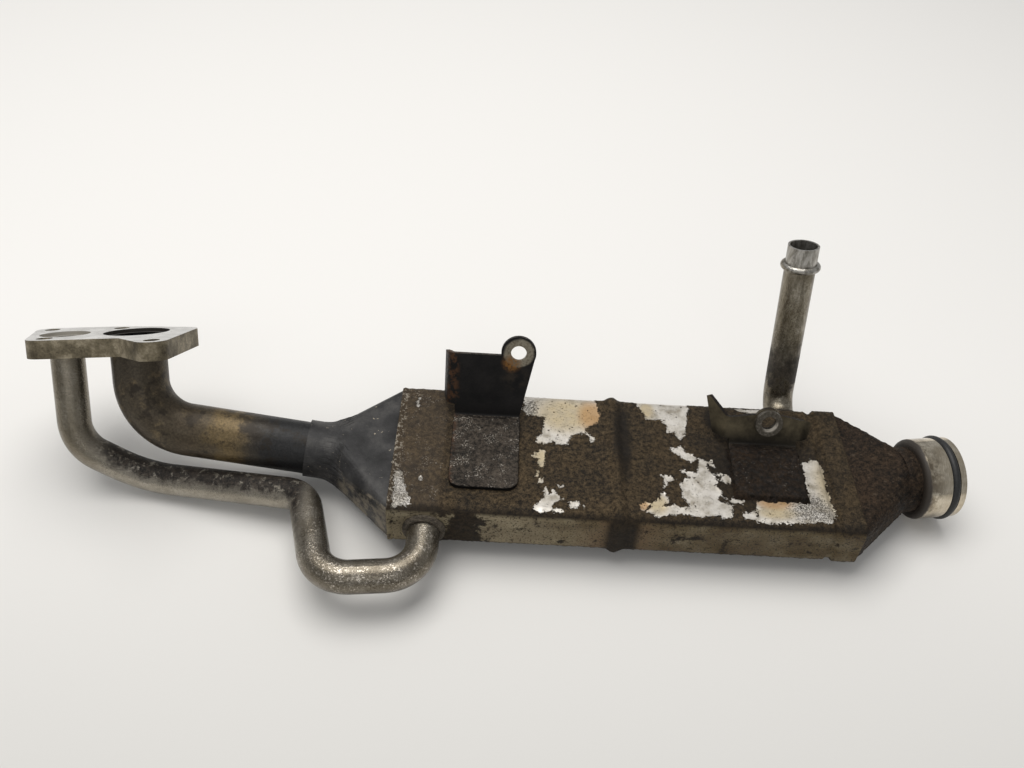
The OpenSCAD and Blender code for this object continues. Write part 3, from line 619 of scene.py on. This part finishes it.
# Copy of a node's surface, cut finer where grime lies and raised there
def grimyCopy(name, title, s, grime, material):
    bm = nodeCopy(name)
    cutFiner(bm, s, lambda e: max(grime(e.verts[0].co), grime(e.verts[1].co)) > 0)
    smoothFaces(bm, s["crease"])
    moved = []
    for v in bm.verts:
        share = grime(v.co) if all(f.normal.dot(v.normal) > s["flatness"] for f in v.link_faces) else 0
        if share > 0:
            height = s["height"] * max(0, s["base"] + s["lumps"] * lump(v.co * s["scale"]))
            moved.append((v, v.normal * share * height * millimetre))
    for v, move in moved:
        v.co += move
    made = meshObject(bm, title, material)
    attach(made, "root")
    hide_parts(name)
    return made


# Outlet cone: gritty soot, clear of the shell's end and of the spigot's socket
outletGrime = {"longest": 1.6, "passes": 7, "crease": 0.7, "flatness": 0.9, "scale": 420, "height": 0.55,
               "base": 0.6, "lumps": 0.8, "spigotLength": 24.5, "neckClear": 18.3,
               "spigotGap": 1, "spigotFade": 3, "shellGap": 0.8, "shellFade": 2}
outletConeLook = {"soot": ((0.0035, 0.0024, 0.0014), (0.056, 0.036, 0.022)),
                  "worn": ((330, 5, 0.65), 0.6, 0.66), "wornShare": 0.6, "wornTone": (0.085, 0.062, 0.042),
                  "metallic": 0.05, "specular": 0.16, "bump": 0.7}
spigotAxis = Vector(mounts["gas_spigot"]["axis"])
spigotFoot = Vector(mounts["gas_spigot"]["pos_m"]) - spigotAxis * outletGrime["spigotLength"] * millimetre


def coneGrime(p):
    s = outletGrime
    away = p - spigotFoot
    back = -away.dot(spigotAxis)
    off = (away + spigotAxis * back).length
    fromSpigot = back / millimetre - s["spigotGap"]
    fromShell = (p.x - shellHigh.x) / millimetre - s["shellGap"]
    if off < s["neckClear"] * millimetre or fromSpigot < 0 or fromShell < 0:
        return 0
    return min(1, fromSpigot / s["spigotFade"], fromShell / s["shellFade"])


cakedSheet = sootyMaterial("cakedSheet", outletConeLook)
dress(["outlet_diffuser"], cakedSheet)
cakedCone = grimyCopy("outlet_diffuser", "cakedCone", outletGrime, coneGrime, cakedSheet)
print("outlet cone caked")

# Gas pipe: straw heat tint in the middle, dark towards the diffuser, black inside under the port
gasPipeLook = {
    "broad": (70, 5, 0.62), "fine": (800, 4, 0.65), "wander": 30, "tintSpan": (-14, 116),
    "tints": [(0.0, (0.075, 0.061, 0.043)), (0.3, (0.07, 0.053, 0.033)), (0.4, (0.085, 0.065, 0.04)),
              (0.47, (0.146, 0.104, 0.05)), (0.55, (0.132, 0.094, 0.046)), (0.64, (0.052, 0.043, 0.032)),
              (0.76, (0.026, 0.0255, 0.0255)), (1.0, (0.025, 0.025, 0.0255))],
    "tanPatches": ((95, 4, 0.6), 0.52, 0.64), "tanSpan": (15, 45), "tanShare": 0.6,
    "tan": (0.165, 0.124, 0.07),
    "fineShare": 0.75, "fineTones": [(0.3, (0.45, 0.45, 0.45)), (0.7, (1.35, 1.35, 1.35))],
    "stains": ((85, 5, 0.7), 0.5, 0.62), "stainShare": 0.75, "stain": (0.022, 0.017, 0.012),
    "bore": (13.8, 14.6), "boreDepth": (-30, -22), "boreSoot": (0.004, 0.0036, 0.0032),
    "rough": (0.3, 0.7, 0.34, 0.52), "metallic": 0.45, "specular": 0.3, "bump": 0.15,
}


def gasPipeMaterial(s):
    m = Look("heatTintedTube")
    x = m.split(m.point)[0]
    broad, fine = m.grain(*s["broad"]), m.grain(*s["fine"])
    place = m.plus(x, m.swing(broad, s["wander"] * millimetre))
    tint = m.ramp(m.spanned(place, s["tintSpan"]), s["tints"])
    tan = m.times(m.patches(*s["tanPatches"]), m.spanned(x, s["tanSpan"], s["tanShare"], 0))
    colour = m.toned(s["fineShare"], m.mixed(tan, tint, s["tan"]), fine, s["fineTones"])
    colour = m.mixed(m.times(m.patches(*s["stains"]), s["stainShare"]), colour, s["stain"])
    port = mounts["gas_port"]
    inside = m.times(m.spanned(m.offAxis(port["pos_m"], port["axis"]), s["bore"], 1, 0),
                     m.spanned(m.along(port["pos_m"], port["axis"]), s["boreDepth"]))
    colour = m.mixed(inside, colour, s["boreSoot"])
    return m.finish(Base_Color=colour, Roughness=m.ranged(broad, *s["rough"]), Metallic=s["metallic"],
                    Specular_IOR_Level=s["specular"], Normal=m.bumped(fine, s["bump"]))


dress(["gas_pipe"], gasPipeMaterial(gasPipeLook))

# Coolant pipes: dull steel with rust specks and soot
coolantLook = {
    "broad": (80, 5, 0.62), "fine": (950, 4, 0.7),
    "steel": [(0.34, (0.17, 0.152, 0.118)), (0.5, (0.26, 0.236, 0.192)), (0.66, (0.4, 0.372, 0.32))],
    "fineShare": 0.7, "fineTones": [(0.36, (0.6, 0.57, 0.52)), (0.64, (1.2, 1.2, 1.2))],
    "rust": ((1300, 3, 0.6), 0.54, 0.6), "rustAreas": ((60, 4, 0.6), 0.4, 0.6, 0.25, 0.9),
    "rustTone": (0.045, 0.034, 0.022), "ragged": (160, 5, 0.7), "raggedReach": 1.6,
    "soot": ((0.005, 0.004, 0.0034), (0.05, 0.039, 0.03)),
    "rough": (0.26, 0.62), "metallic": (0.85, 0.05), "specular": 0.25, "bump": 0.18,
}
# Inlet pipe: brown leg under the flange, soot on the upper side of the run, pale flecks on the loop
inletPipeLook = {
    "lean": 0.35, "runFrom": (-36, -12), "runTo": (94, 108), "upper": (-0.1, 0.75),
    "sootPatches": ((230, 5, 0.7), 0.34, 0.46, 0.45, 1.0),
    "leg": (-30, -12), "legShare": 0.5, "legTone": (0.15, 0.125, 0.085),
    "runShare": 0.3, "runTone": (0.5, 0.46, 0.39),
    "loop": (95, 110), "loopShare": 0.45, "loopTone": (0.11, 0.09, 0.065),
    "flecks": ((850, 4, 0.7), 0.53, 0.62), "fleckAreas": ((90, 4, 0.6), 0.42, 0.58, 0.1, 0.85),
    "fleck": (0.6, 0.545, 0.475),
}
# Outlet pipe: streaked steel, soot above its bend, bright hose tip
outletPipeLook = {
    "streaks": (420, 5, 0.65, (1, 1, 0.1)), "warmShare": 0.25, "warmTone": (0.2, 0.165, 0.105),
    "streakDark": (0.4, 0.58, 0.5, 0), "streakTone": (0.068, 0.055, 0.034),
    "sootWander": 0.03, "sootTop": (-30, -6), "sootFoot": (-46, -36), "sootShare": 0.85,
    "tip": (32.5, 34.5), "tipTones": [(0.36, (0.2, 0.185, 0.155)), (0.6, (0.5, 0.48, 0.445))],
}


def inletPipeSteel(m, s, steel, ragged):
    x = m.split(m.point)[0]
    ny, nz = m.split(m.normal)[1:]
    up = m.plus(m.plus(nz, m.times(ny, s["lean"])), ragged)
    run = m.times(m.spanned(x, s["runFrom"]), m.spanned(x, s["runTo"], 1, 0))
    soot = m.times(m.ranged(up, *s["upper"]), run)
    soot = m.times(soot, m.patches(*s["sootPatches"]))
    steel = m.mixed(m.spanned(x, s["leg"], s["legShare"], 0), steel, s["legTone"])
    steel = m.mixed(m.times(run, s["runShare"]), steel, s["runTone"])
    loop = m.spanned(x, s["loop"])
    steel = m.mixed(m.times(loop, s["loopShare"]), steel, s["loopTone"])
    flecks = m.times(m.patches(*s["flecks"]), m.patches(*s["fleckAreas"]))
    return m.mixed(m.times(flecks, loop), steel, s["fleck"]), soot


def outletPipeSteel(m, s, steel, ragged):
    z = m.split(m.point)[2]
    streaks = m.grain(*s["streaks"])
    steel = m.mixed(s["warmShare"], steel, s["warmTone"])
    steel = m.mixed(m.ranged(streaks, *s["streakDark"]), steel, s["streakTone"])
    low = m.plus(z, m.times(ragged, s["sootWander"]))
    soot = m.times(m.spanned(low, s["sootTop"], 1, 0), m.spanned(low, s["sootFoot"]))
    steel = m.mixed(m.spanned(z, s["tip"]), steel, m.ramp(streaks, s["tipTones"]))
    return steel, m.times(soot, s["sootShare"])


def coolantMaterial(name, s, finishSteel, pipeLook):
    m = Look(name)
    fine = m.grain(*s["fine"])
    steel = m.toned(s["fineShare"], m.ramp(m.grain(*s["broad"]), s["steel"]), fine, s["fineTones"])
    rust = m.times(m.patches(*s["rust"]), m.patches(*s["rustAreas"]))
    steel = m.mixed(rust, steel, s["rustTone"])
    ragged = m.swing(m.grain(*s["ragged"]), s["raggedReach"])
    steel, soot = finishSteel(m, pipeLook, steel, ragged)
    return m.finish(Base_Color=m.mixed(soot, steel, m.soot(*s["soot"])[0]),
                    Roughness=m.ranged(soot, 0, 1, *s["rough"]),
                    Metallic=m.ranged(soot, 0, 1, *s["metallic"]),
                    Specular_IOR_Level=s["specular"], Normal=m.bumped(fine, s["bump"]))


dress(["coolant_inlet_pipe"], coolantMaterial("coolantSteel", coolantLook, inletPipeSteel, inletPipeLook))
dress(["coolant_outlet_pipe"], coolantMaterial("outletSteel", coolantLook, outletPipeSteel, outletPipeLook))

# Weld sockets: caked soot over a rough weld
socketLook = {"soot": ((0.02, 0.016, 0.012), (0.12, 0.1, 0.075)), "metallic": 0.2, "specular": 0.25,
              "bump": 0.6}
dress(["inlet_socket", "outlet_socket"], sootyMaterial("weldSoot", socketLook))

# Flange: pale machined port face, dull olive edges, soot in the gas port and scale in the coolant port
flangeLook = {
    "broad": (90, 5, 0.62), "fine": (900, 4, 0.7),
    "edge": [(0.36, (0.068, 0.054, 0.031)), (0.5, (0.162, 0.135, 0.086)), (0.64, (0.325, 0.28, 0.2))],
    "fineShare": 0.7, "fineTones": [(0.3, (0.45, 0.43, 0.4)), (0.7, (1.3, 1.3, 1.3))],
    "face": [(0.3, (0.5, 0.49, 0.47)), (0.7, (0.74, 0.73, 0.71))], "faceNormal": (0.8, 0.95),
    "rust": ((420, 4, 0.7), 0.6, 0.68), "rustShare": 0.6, "rustTone": (0.05, 0.035, 0.02),
    "linings": {"gas_port": ((17.4, 17.7), (0.014, 0.012, 0.0105)),
                "coolant_port": ((13.1, 13.4), (0.36, 0.34, 0.3))},
    "liningShare": 0.9, "rough": 0.6, "metallic": 0.4, "bump": 0.15,
}


def flangeMaterial(s):
    m = Look("flangePlate")
    axis = mounts["gas_port"]["axis"]
    broad, fine = m.grain(*s["broad"]), m.grain(*s["fine"])
    edge = m.toned(s["fineShare"], m.ramp(broad, s["edge"]), fine, s["fineTones"])
    top = m.vector("DOT_PRODUCT", m.normal, tuple(axis), "Value")
    colour = m.mixed(m.ranged(top, *s["faceNormal"]), edge, m.ramp(broad, s["face"]))
    colour = m.mixed(m.times(m.patches(*s["rust"]), s["rustShare"]), colour, s["rustTone"])
    for port, (radii, lining) in s["linings"].items():
        off = m.offAxis(mounts[port]["pos_m"], axis)
        colour = m.mixed(m.spanned(off, radii, s["liningShare"], 0), colour, lining)
    return m.finish(Base_Color=colour, Roughness=s["rough"], Metallic=s["metallic"],
                    Normal=m.bumped(fine, s["bump"]))


dress(["flange"], flangeMaterial(flangeLook))
print("pipes and flange dressed")

# Brackets: matt sheet, rust along an edge, caked grit on the feet, a ring worn bare by a washer round the hole
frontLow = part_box("front_bracket")[0]
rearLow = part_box("rear_bracket")[0]
bracketLook = {
    "broad": (90, 5, 0.62), "fine": (800, 4, 0.7), "sheetStops": (0.32, 0.68), "footNormal": (0.7, 0.95),
    "rustReach": (1, 5.5), "rust": ((260, 5, 0.7), 0.45, 0.6), "rustShare": 0.8,
    "rustTone": (0.075, 0.035, 0.016),
    "stainOffset": (-1, -5.8, -14.5), "stainRadii": (2, 11), "stainBroad": (0.4, 0.62), "stainShare": 0.75,
    "stain": (0.034, 0.025, 0.017),
    "ringWander": 4, "ringEdge": 1.5, "wornShare": 0.9,
    "wornTones": [(0.36, (0.15, 0.128, 0.09)), (0.58, (0.32, 0.288, 0.225))],
    "ringRustOffset": (-3.6, -2.2, -5.4), "ringRustRadii": (2.2, 7.2), "ringRustFine": (0.36, 0.54),
    "ringRust": (0.22, 0.1, 0.025),
    "fold": (2, 13), "foldFoot": 0.9, "foldShare": 0.9, "foldGrimeAndShade": (0.004, 0.0034, 0.003),
    "fineHeight": 0.25, "rough": (0.3, 0.7, 0.48, 0.68), "metallic": 0.6, "specular": 0.18, "bump": 0.6,
}
frontLook = {"low": frontLow, "hole": "front_bracket_hole", "ring": 7.6, "rustAt": 5, "ringRustShare": 0.85,
             "sheet": ((0.004, 0.0038, 0.0038), (0.0125, 0.011, 0.0105)),
             "grit": ((0.0055, 0.0043, 0.0032), (0.08, 0.064, 0.049)), "specks": 0.1}
rearLook = {"low": rearLow, "hole": "rear_bracket_hole", "ring": 3, "rustAt": -50, "ringRustShare": 0,
            "sheet": ((0.02, 0.0155, 0.009), (0.108, 0.088, 0.054)),
            "grit": ((0.0025, 0.0018, 0.0012), (0.026, 0.017, 0.011)), "specks": 0}
padGrime = {"longest": 1.3, "passes": 7, "crease": 0.6, "flatness": 0.9, "scale": 480, "height": 0.5,
            "base": 0.6, "lumps": 0.8, "plate": 2.5, "nearTop": 0.4}


def bracketMaterial(name, s, b):
    m = Look(name)
    x, z = m.split(m.point)[::2]
    hole = Vector(mounts[b["hole"]]["pos_m"])
    broad, fine = m.grain(*s["broad"]), m.grain(*s["fine"])
    sheet = m.ramp(broad, list(zip(s["sheetStops"], b["sheet"])))
    grit, gritHeight = m.soot(*b["grit"])[::2]
    foot = m.ranged(m.split(m.normal)[2], *s["footNormal"])
    colour = m.mixed(foot, sheet, m.paleSpecks(grit, b["specks"]))
    fromEdge = m.apart(x, b["low"].x + b["rustAt"] * millimetre)
    rust = m.times(m.spanned(fromEdge, s["rustReach"], 1, 0), m.patches(*s["rust"]))
    colour = m.mixed(m.times(rust, s["rustShare"]), colour, s["rustTone"])
    # Brown stain below the hole, bare ring with rust on its lower edge, and near-black towards the fold that
    # is part grime, part painted shade in the crease
    stain = m.times(m.spot(hole + Vector(s["stainOffset"]) * millimetre, s["stainRadii"]),
                    m.ranged(broad, *s["stainBroad"]))
    colour = m.mixed(m.times(stain, s["stainShare"]), colour, s["stain"])
    away = m.plus(m.distance(hole), m.swing(broad, s["ringWander"] * millimetre))
    worn = m.spanned(away, (b["ring"], b["ring"] + s["ringEdge"]), 1, 0)
    colour = m.mixed(m.times(worn, s["wornShare"]), colour, m.ramp(fine, s["wornTones"]))
    ringRust = m.times(m.spot(hole + Vector(s["ringRustOffset"]) * millimetre, s["ringRustRadii"]),
                       m.ranged(fine, *s["ringRustFine"]))
    colour = m.mixed(m.times(ringRust, b["ringRustShare"]), colour, s["ringRust"])
    # Darkening towards the fold: grime in part, and painted shade where the upright meets the foot
    fold = [b["low"].z + place * millimetre for place in s["fold"]]
    inFoldGrimeAndShade = m.times(m.ranged(z, *fold, 1, 0), m.ranged(foot, 0.0, s["foldFoot"], 1, 0))
    colour = m.mixed(m.times(inFoldGrimeAndShade, s["foldShare"]), colour, s["foldGrimeAndShade"])
    height = m.plus(m.times(gritHeight, foot), m.times(fine, s["fineHeight"]))
    return m.finish(Base_Color=colour, Roughness=m.ranged(fine, *s["rough"]),
                    Metallic=m.times(worn, s["metallic"]), Specular_IOR_Level=s["specular"],
                    Normal=m.bumped(height, s["bump"]))


# Grime on the upper side of a bracket's foot
def footGrime(low):
    top = low.z + padGrime["plate"] * millimetre
    return lambda p: 1 if abs(p.z - top) < padGrime["nearTop"] * millimetre else 0


for name, title, finish, look in (("front_bracket", "frontGrime", "frontSheet", frontLook),
                                  ("rear_bracket", "rearGrime", "rearSheet", rearLook)):
    sheet = bracketMaterial(finish, bracketLook, look)
    dress([name], sheet)
    grimyFoot = grimyCopy(name, title, padGrime, footGrime(look["low"]), sheet)
print("bracket feet caked")

# Oily crust that buries the rear bracket's foot, in millimetres along and across the shell
rearCrust = {"left": 185, "right": 237, "near": -33, "far": 8.5, "step": 0.7, "sunk": 0.4,
             "footLeft": 191.8, "footRight": 230.2, "footNear": -26.3, "foot": 2.5, "scale": 0.4,
             "slope": 2.4, "cover": 0.35, "wander": 1.6, "lumps": 0.6, "thick": 0.8}
crustLook = {"soot": ((0.0025, 0.0016, 0.001), (0.027, 0.0165, 0.009)), "specks": (0.02, (0.12, 0.1, 0.08)),
             "metallic": 0, "specular": 0.16, "bump": 0.6}


def buildRearCrust(s, material):
    wide, deep = s["right"] - s["left"], s["far"] - s["near"]
    bm = bmesh.new()
    bmesh.ops.create_grid(bm, x_segments=round(wide / s["step"]), y_segments=round(deep / s["step"]), size=1)
    for v in bm.verts:
        x = s["left"] + (v.co.x + 1) / 2 * wide
        y = s["near"] + (v.co.y + 1) / 2 * deep
        rough = lump(Vector((x, y, 0)) * s["scale"])
        inside = min(x - s["footLeft"], s["footRight"] - x, y - s["footNear"]) + s["wander"] * rough
        t = smoothStep(min(1, max(0, inside / s["slope"] + 1)))
        height = t * (s["foot"] + s["cover"] + s["sunk"] + s["lumps"] * rough) - s["sunk"]
        v.co = shellStart + Vector((x, y, shellSkin["depth"] / 2 + height)) * millimetre
    under = bmesh.ops.extrude_face_region(bm, geom=bm.faces[:], use_keep_orig=True)["geom"]
    bmesh.ops.translate(bm, verts=[g for g in under if isinstance(g, bmesh.types.BMVert)],
                        vec=(0, 0, -s["thick"] * millimetre))
    bmesh.ops.recalc_face_normals(bm, faces=bm.faces)
    smoothFaces(bm)
    return meshObject(bm, "rearCrust", material)


crust = buildRearCrust(rearCrust, sootyMaterial("oilyCrust", crustLook))
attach(crust, "root")
print("rear crust built")

# Weld nut: dark, with a painted highlight on the rim of its hole at the lower right
nutLook = {"fine": (700, 4, 0.7), "rimRadii": (5.2, 6.2), "lowerRight": (0.6, -0.3, -0.74),
           "lowerFrom": (0.8, 3),
           "steel": [(0.3, (0.034, 0.028, 0.021)), (0.55, (0.085, 0.073, 0.056)), (0.7, (0.19, 0.17, 0.14))],
           "rimHighlightShare": 0.85, "rimHighlightTone": (0.46, 0.42, 0.36), "rough": 0.45, "metallic": 0.45, "bump": 0.2}


def nutMaterial(s):
    m = Look("weldNut")
    hole = mounts["rear_bracket_hole"]["pos_m"]
    fine = m.grain(*s["fine"])
    # Painted highlight: the rim of the hole is made pale on its lower right side
    bright = m.times(m.spot(hole, s["rimRadii"]), m.spanned(m.along(hole, s["lowerRight"]), s["lowerFrom"]))
    colour = m.mixed(m.times(bright, s["rimHighlightShare"]), m.ramp(fine, s["steel"]), s["rimHighlightTone"])
    return m.finish(Base_Color=colour, Roughness=s["rough"], Metallic=s["metallic"],
                    Normal=m.bumped(fine, s["bump"]))


dress(["rear_weld_nut"], nutMaterial(nutLook))

# Spigot: polished land with brown smears and a sooty shoulder
spigotLook = {"broad": (120, 5, 0.62), "lines": (300, 3, 0.6, (6, 1, 1)), "lineShare": 0.5,
              "steel": [(0.3, (0.5, 0.43, 0.32)), (0.7, (0.75, 0.68, 0.56))],
              "lineTones": [(0.3, (0.55, 0.52, 0.47)), (0.7, (1.2, 1.2, 1.2))],
              "smears": ((150, 5, 0.7), 0.42, 0.62), "smearSpan": (10, 21), "smearShares": (0.15, 0.8),
              "smear": (0.13, 0.1, 0.066), "sootWander": 3, "sootSpan": (21.5, 23.5),
              "soot": (0.03, 0.023, 0.017), "rough": (0.13, 0.6), "metallic": (1.0, 0.1), "bump": 0.03}


def spigotMaterial(s):
    m = Look("turnedSteel")
    back = m.along(mounts["gas_spigot"]["pos_m"], -spigotAxis)
    broad, lines = m.grain(*s["broad"]), m.grain(*s["lines"])
    steel = m.toned(s["lineShare"], m.ramp(broad, s["steel"]), lines, s["lineTones"])
    smears = m.times(m.patches(*s["smears"]), m.spanned(back, s["smearSpan"], *s["smearShares"]))
    steel = m.mixed(smears, steel, s["smear"])
    soot = m.spanned(m.plus(back, m.times(broad, s["sootWander"] * millimetre)), s["sootSpan"])
    return m.finish(Base_Color=m.mixed(soot, steel, s["soot"]),
                    Roughness=m.ranged(soot, 0, 1, *s["rough"]),
                    Metallic=m.ranged(soot, 0, 1, *s["metallic"]), Normal=m.bumped(lines, s["bump"]))


dress(["spigot"], spigotMaterial(spigotLook))

# Seal: black rubber; inner core: plain brazed steel
sealLook = {"fine": (900, 3, 0.6), "tones": [(0.3, (0.006, 0.006, 0.006)), (0.7, (0.016, 0.016, 0.016))],
            "rough": 0.5, "metallic": 0, "bump": 0.05}
coreLook = {"fine": (300, 4, 0.6), "tones": [(0.3, (0.22, 0.21, 0.19)), (0.7, (0.36, 0.35, 0.32))],
            "rough": 0.45, "metallic": 0.8, "bump": 0.08}


def plainMaterial(name, s):
    m = Look(name)
    fine = m.grain(*s["fine"])
    return m.finish(Base_Color=m.ramp(fine, s["tones"]), Roughness=s["rough"], Metallic=s["metallic"],
                    Normal=m.bumped(fine, s["bump"]))


core = [n for n in nodes if n.startswith(("gas_tube", "baffle")) or n.endswith("header")]
dress(["seal_ring"], plainMaterial("blackRubber", sealLook))
dress(core, plainMaterial("brazedCore", coreLook))
print("materials made")

# Floor with painted shade: darker towards the front as painted light falloff, paler towards the back
floorLook = {"half": 4, "centre": 0.2, "gap": 0.5, "paintedFalloff": (-400, 120), "front": (0.6, 0.59, 0.565),
             "back": (0.85, 0.835, 0.81), "rough": 0.7, "specular": 0.2}


def buildFloor(s):
    m = Look("paleFloor")
    # Painted shade: the floor's colour darkens towards the front to stand in for light falling off
    paintedFalloff = m.spanned(m.split(m.point)[1], s["paintedFalloff"])
    m.finish(Base_Color=m.mixed(paintedFalloff, s["front"], s["back"]), Roughness=s["rough"],
             Specular_IOR_Level=s["specular"])
    bm = bmesh.new()
    bmesh.ops.create_grid(bm, x_segments=1, y_segments=1, size=s["half"])
    made = meshObject(bm, "floor", m.material)
    made.location = (s["centre"], 0, cadLow.z - s["gap"] * millimetre)
    return made


floor = buildFloor(floorLook)

# Soft light from overhead, a weak fill from the front and an even room
lamps = {
    "ceiling": {"place": (-0.05, 0.25, 1.6), "aim": (0.15, 0.05, 0), "size": (1.7, 1.2), "power": 25,
                "colour": (1, 0.985, 0.96)},
    "frontFill": {"place": (0.1, -1.3, 1.0), "aim": (0.2, 0, 0), "size": (1.2, 0.4), "power": 2.5,
                  "colour": (1, 1, 1)},
}
room = {"colour": (0.98, 0.99, 1, 1), "strength": 0.39}


def addLamp(name, s):
    data = bpy.data.lights.new(name, "AREA")
    data.shape = "RECTANGLE"
    data.size, data.size_y = s["size"]
    data.energy = s["power"]
    data.color = s["colour"]
    lamp = bpy.data.objects.new(name, data)
    lamp.location = s["place"]
    lamp.rotation_euler = (Vector(s["aim"]) - Vector(s["place"])).to_track_quat("-Z", "Y").to_euler()
    scene.collection.objects.link(lamp)


for name, lamp in lamps.items():
    addLamp(name, lamp)
scene.world = bpy.data.worlds.new("room")
scene.world.use_nodes = True
background = scene.world.node_tree.nodes["Background"]
background.inputs["Color"].default_value = room["colour"]
background.inputs["Strength"].default_value = room["strength"]

# Camera at the photo's view, placed from the shell's inlet end
photoView = {"sensor": 36, "lens": 34.108, "nearest": 0.01, "place": (0.053839, -0.369878, 0.426751),
             "right": (0.998306, 0.024772, 0.052641), "up": (-0.054988, 0.697276, 0.714690)}


def addCamera(s):
    camera = bpy.data.cameras.new("photoView")
    camera.sensor_width = s["sensor"]
    camera.lens = s["lens"]
    camera.clip_start = s["nearest"]
    viewer = bpy.data.objects.new("photoView", camera)
    right, up = Vector(s["right"]), Vector(s["up"])
    turned = Matrix((right, up, right.cross(up))).transposed().to_4x4()
    viewer.matrix_world = Matrix.Translation(shellStart + Vector(s["place"])) @ turned
    scene.collection.objects.link(viewer)
    scene.camera = viewer


addCamera(photoView)
scene.render.engine = "CYCLES"
scene.cycles.samples = 128
scene.cycles.use_denoising = True
scene.render.resolution_x = 1920
scene.render.resolution_y = 1080
scene.view_settings.view_transform = "Standard"
print("stage set")
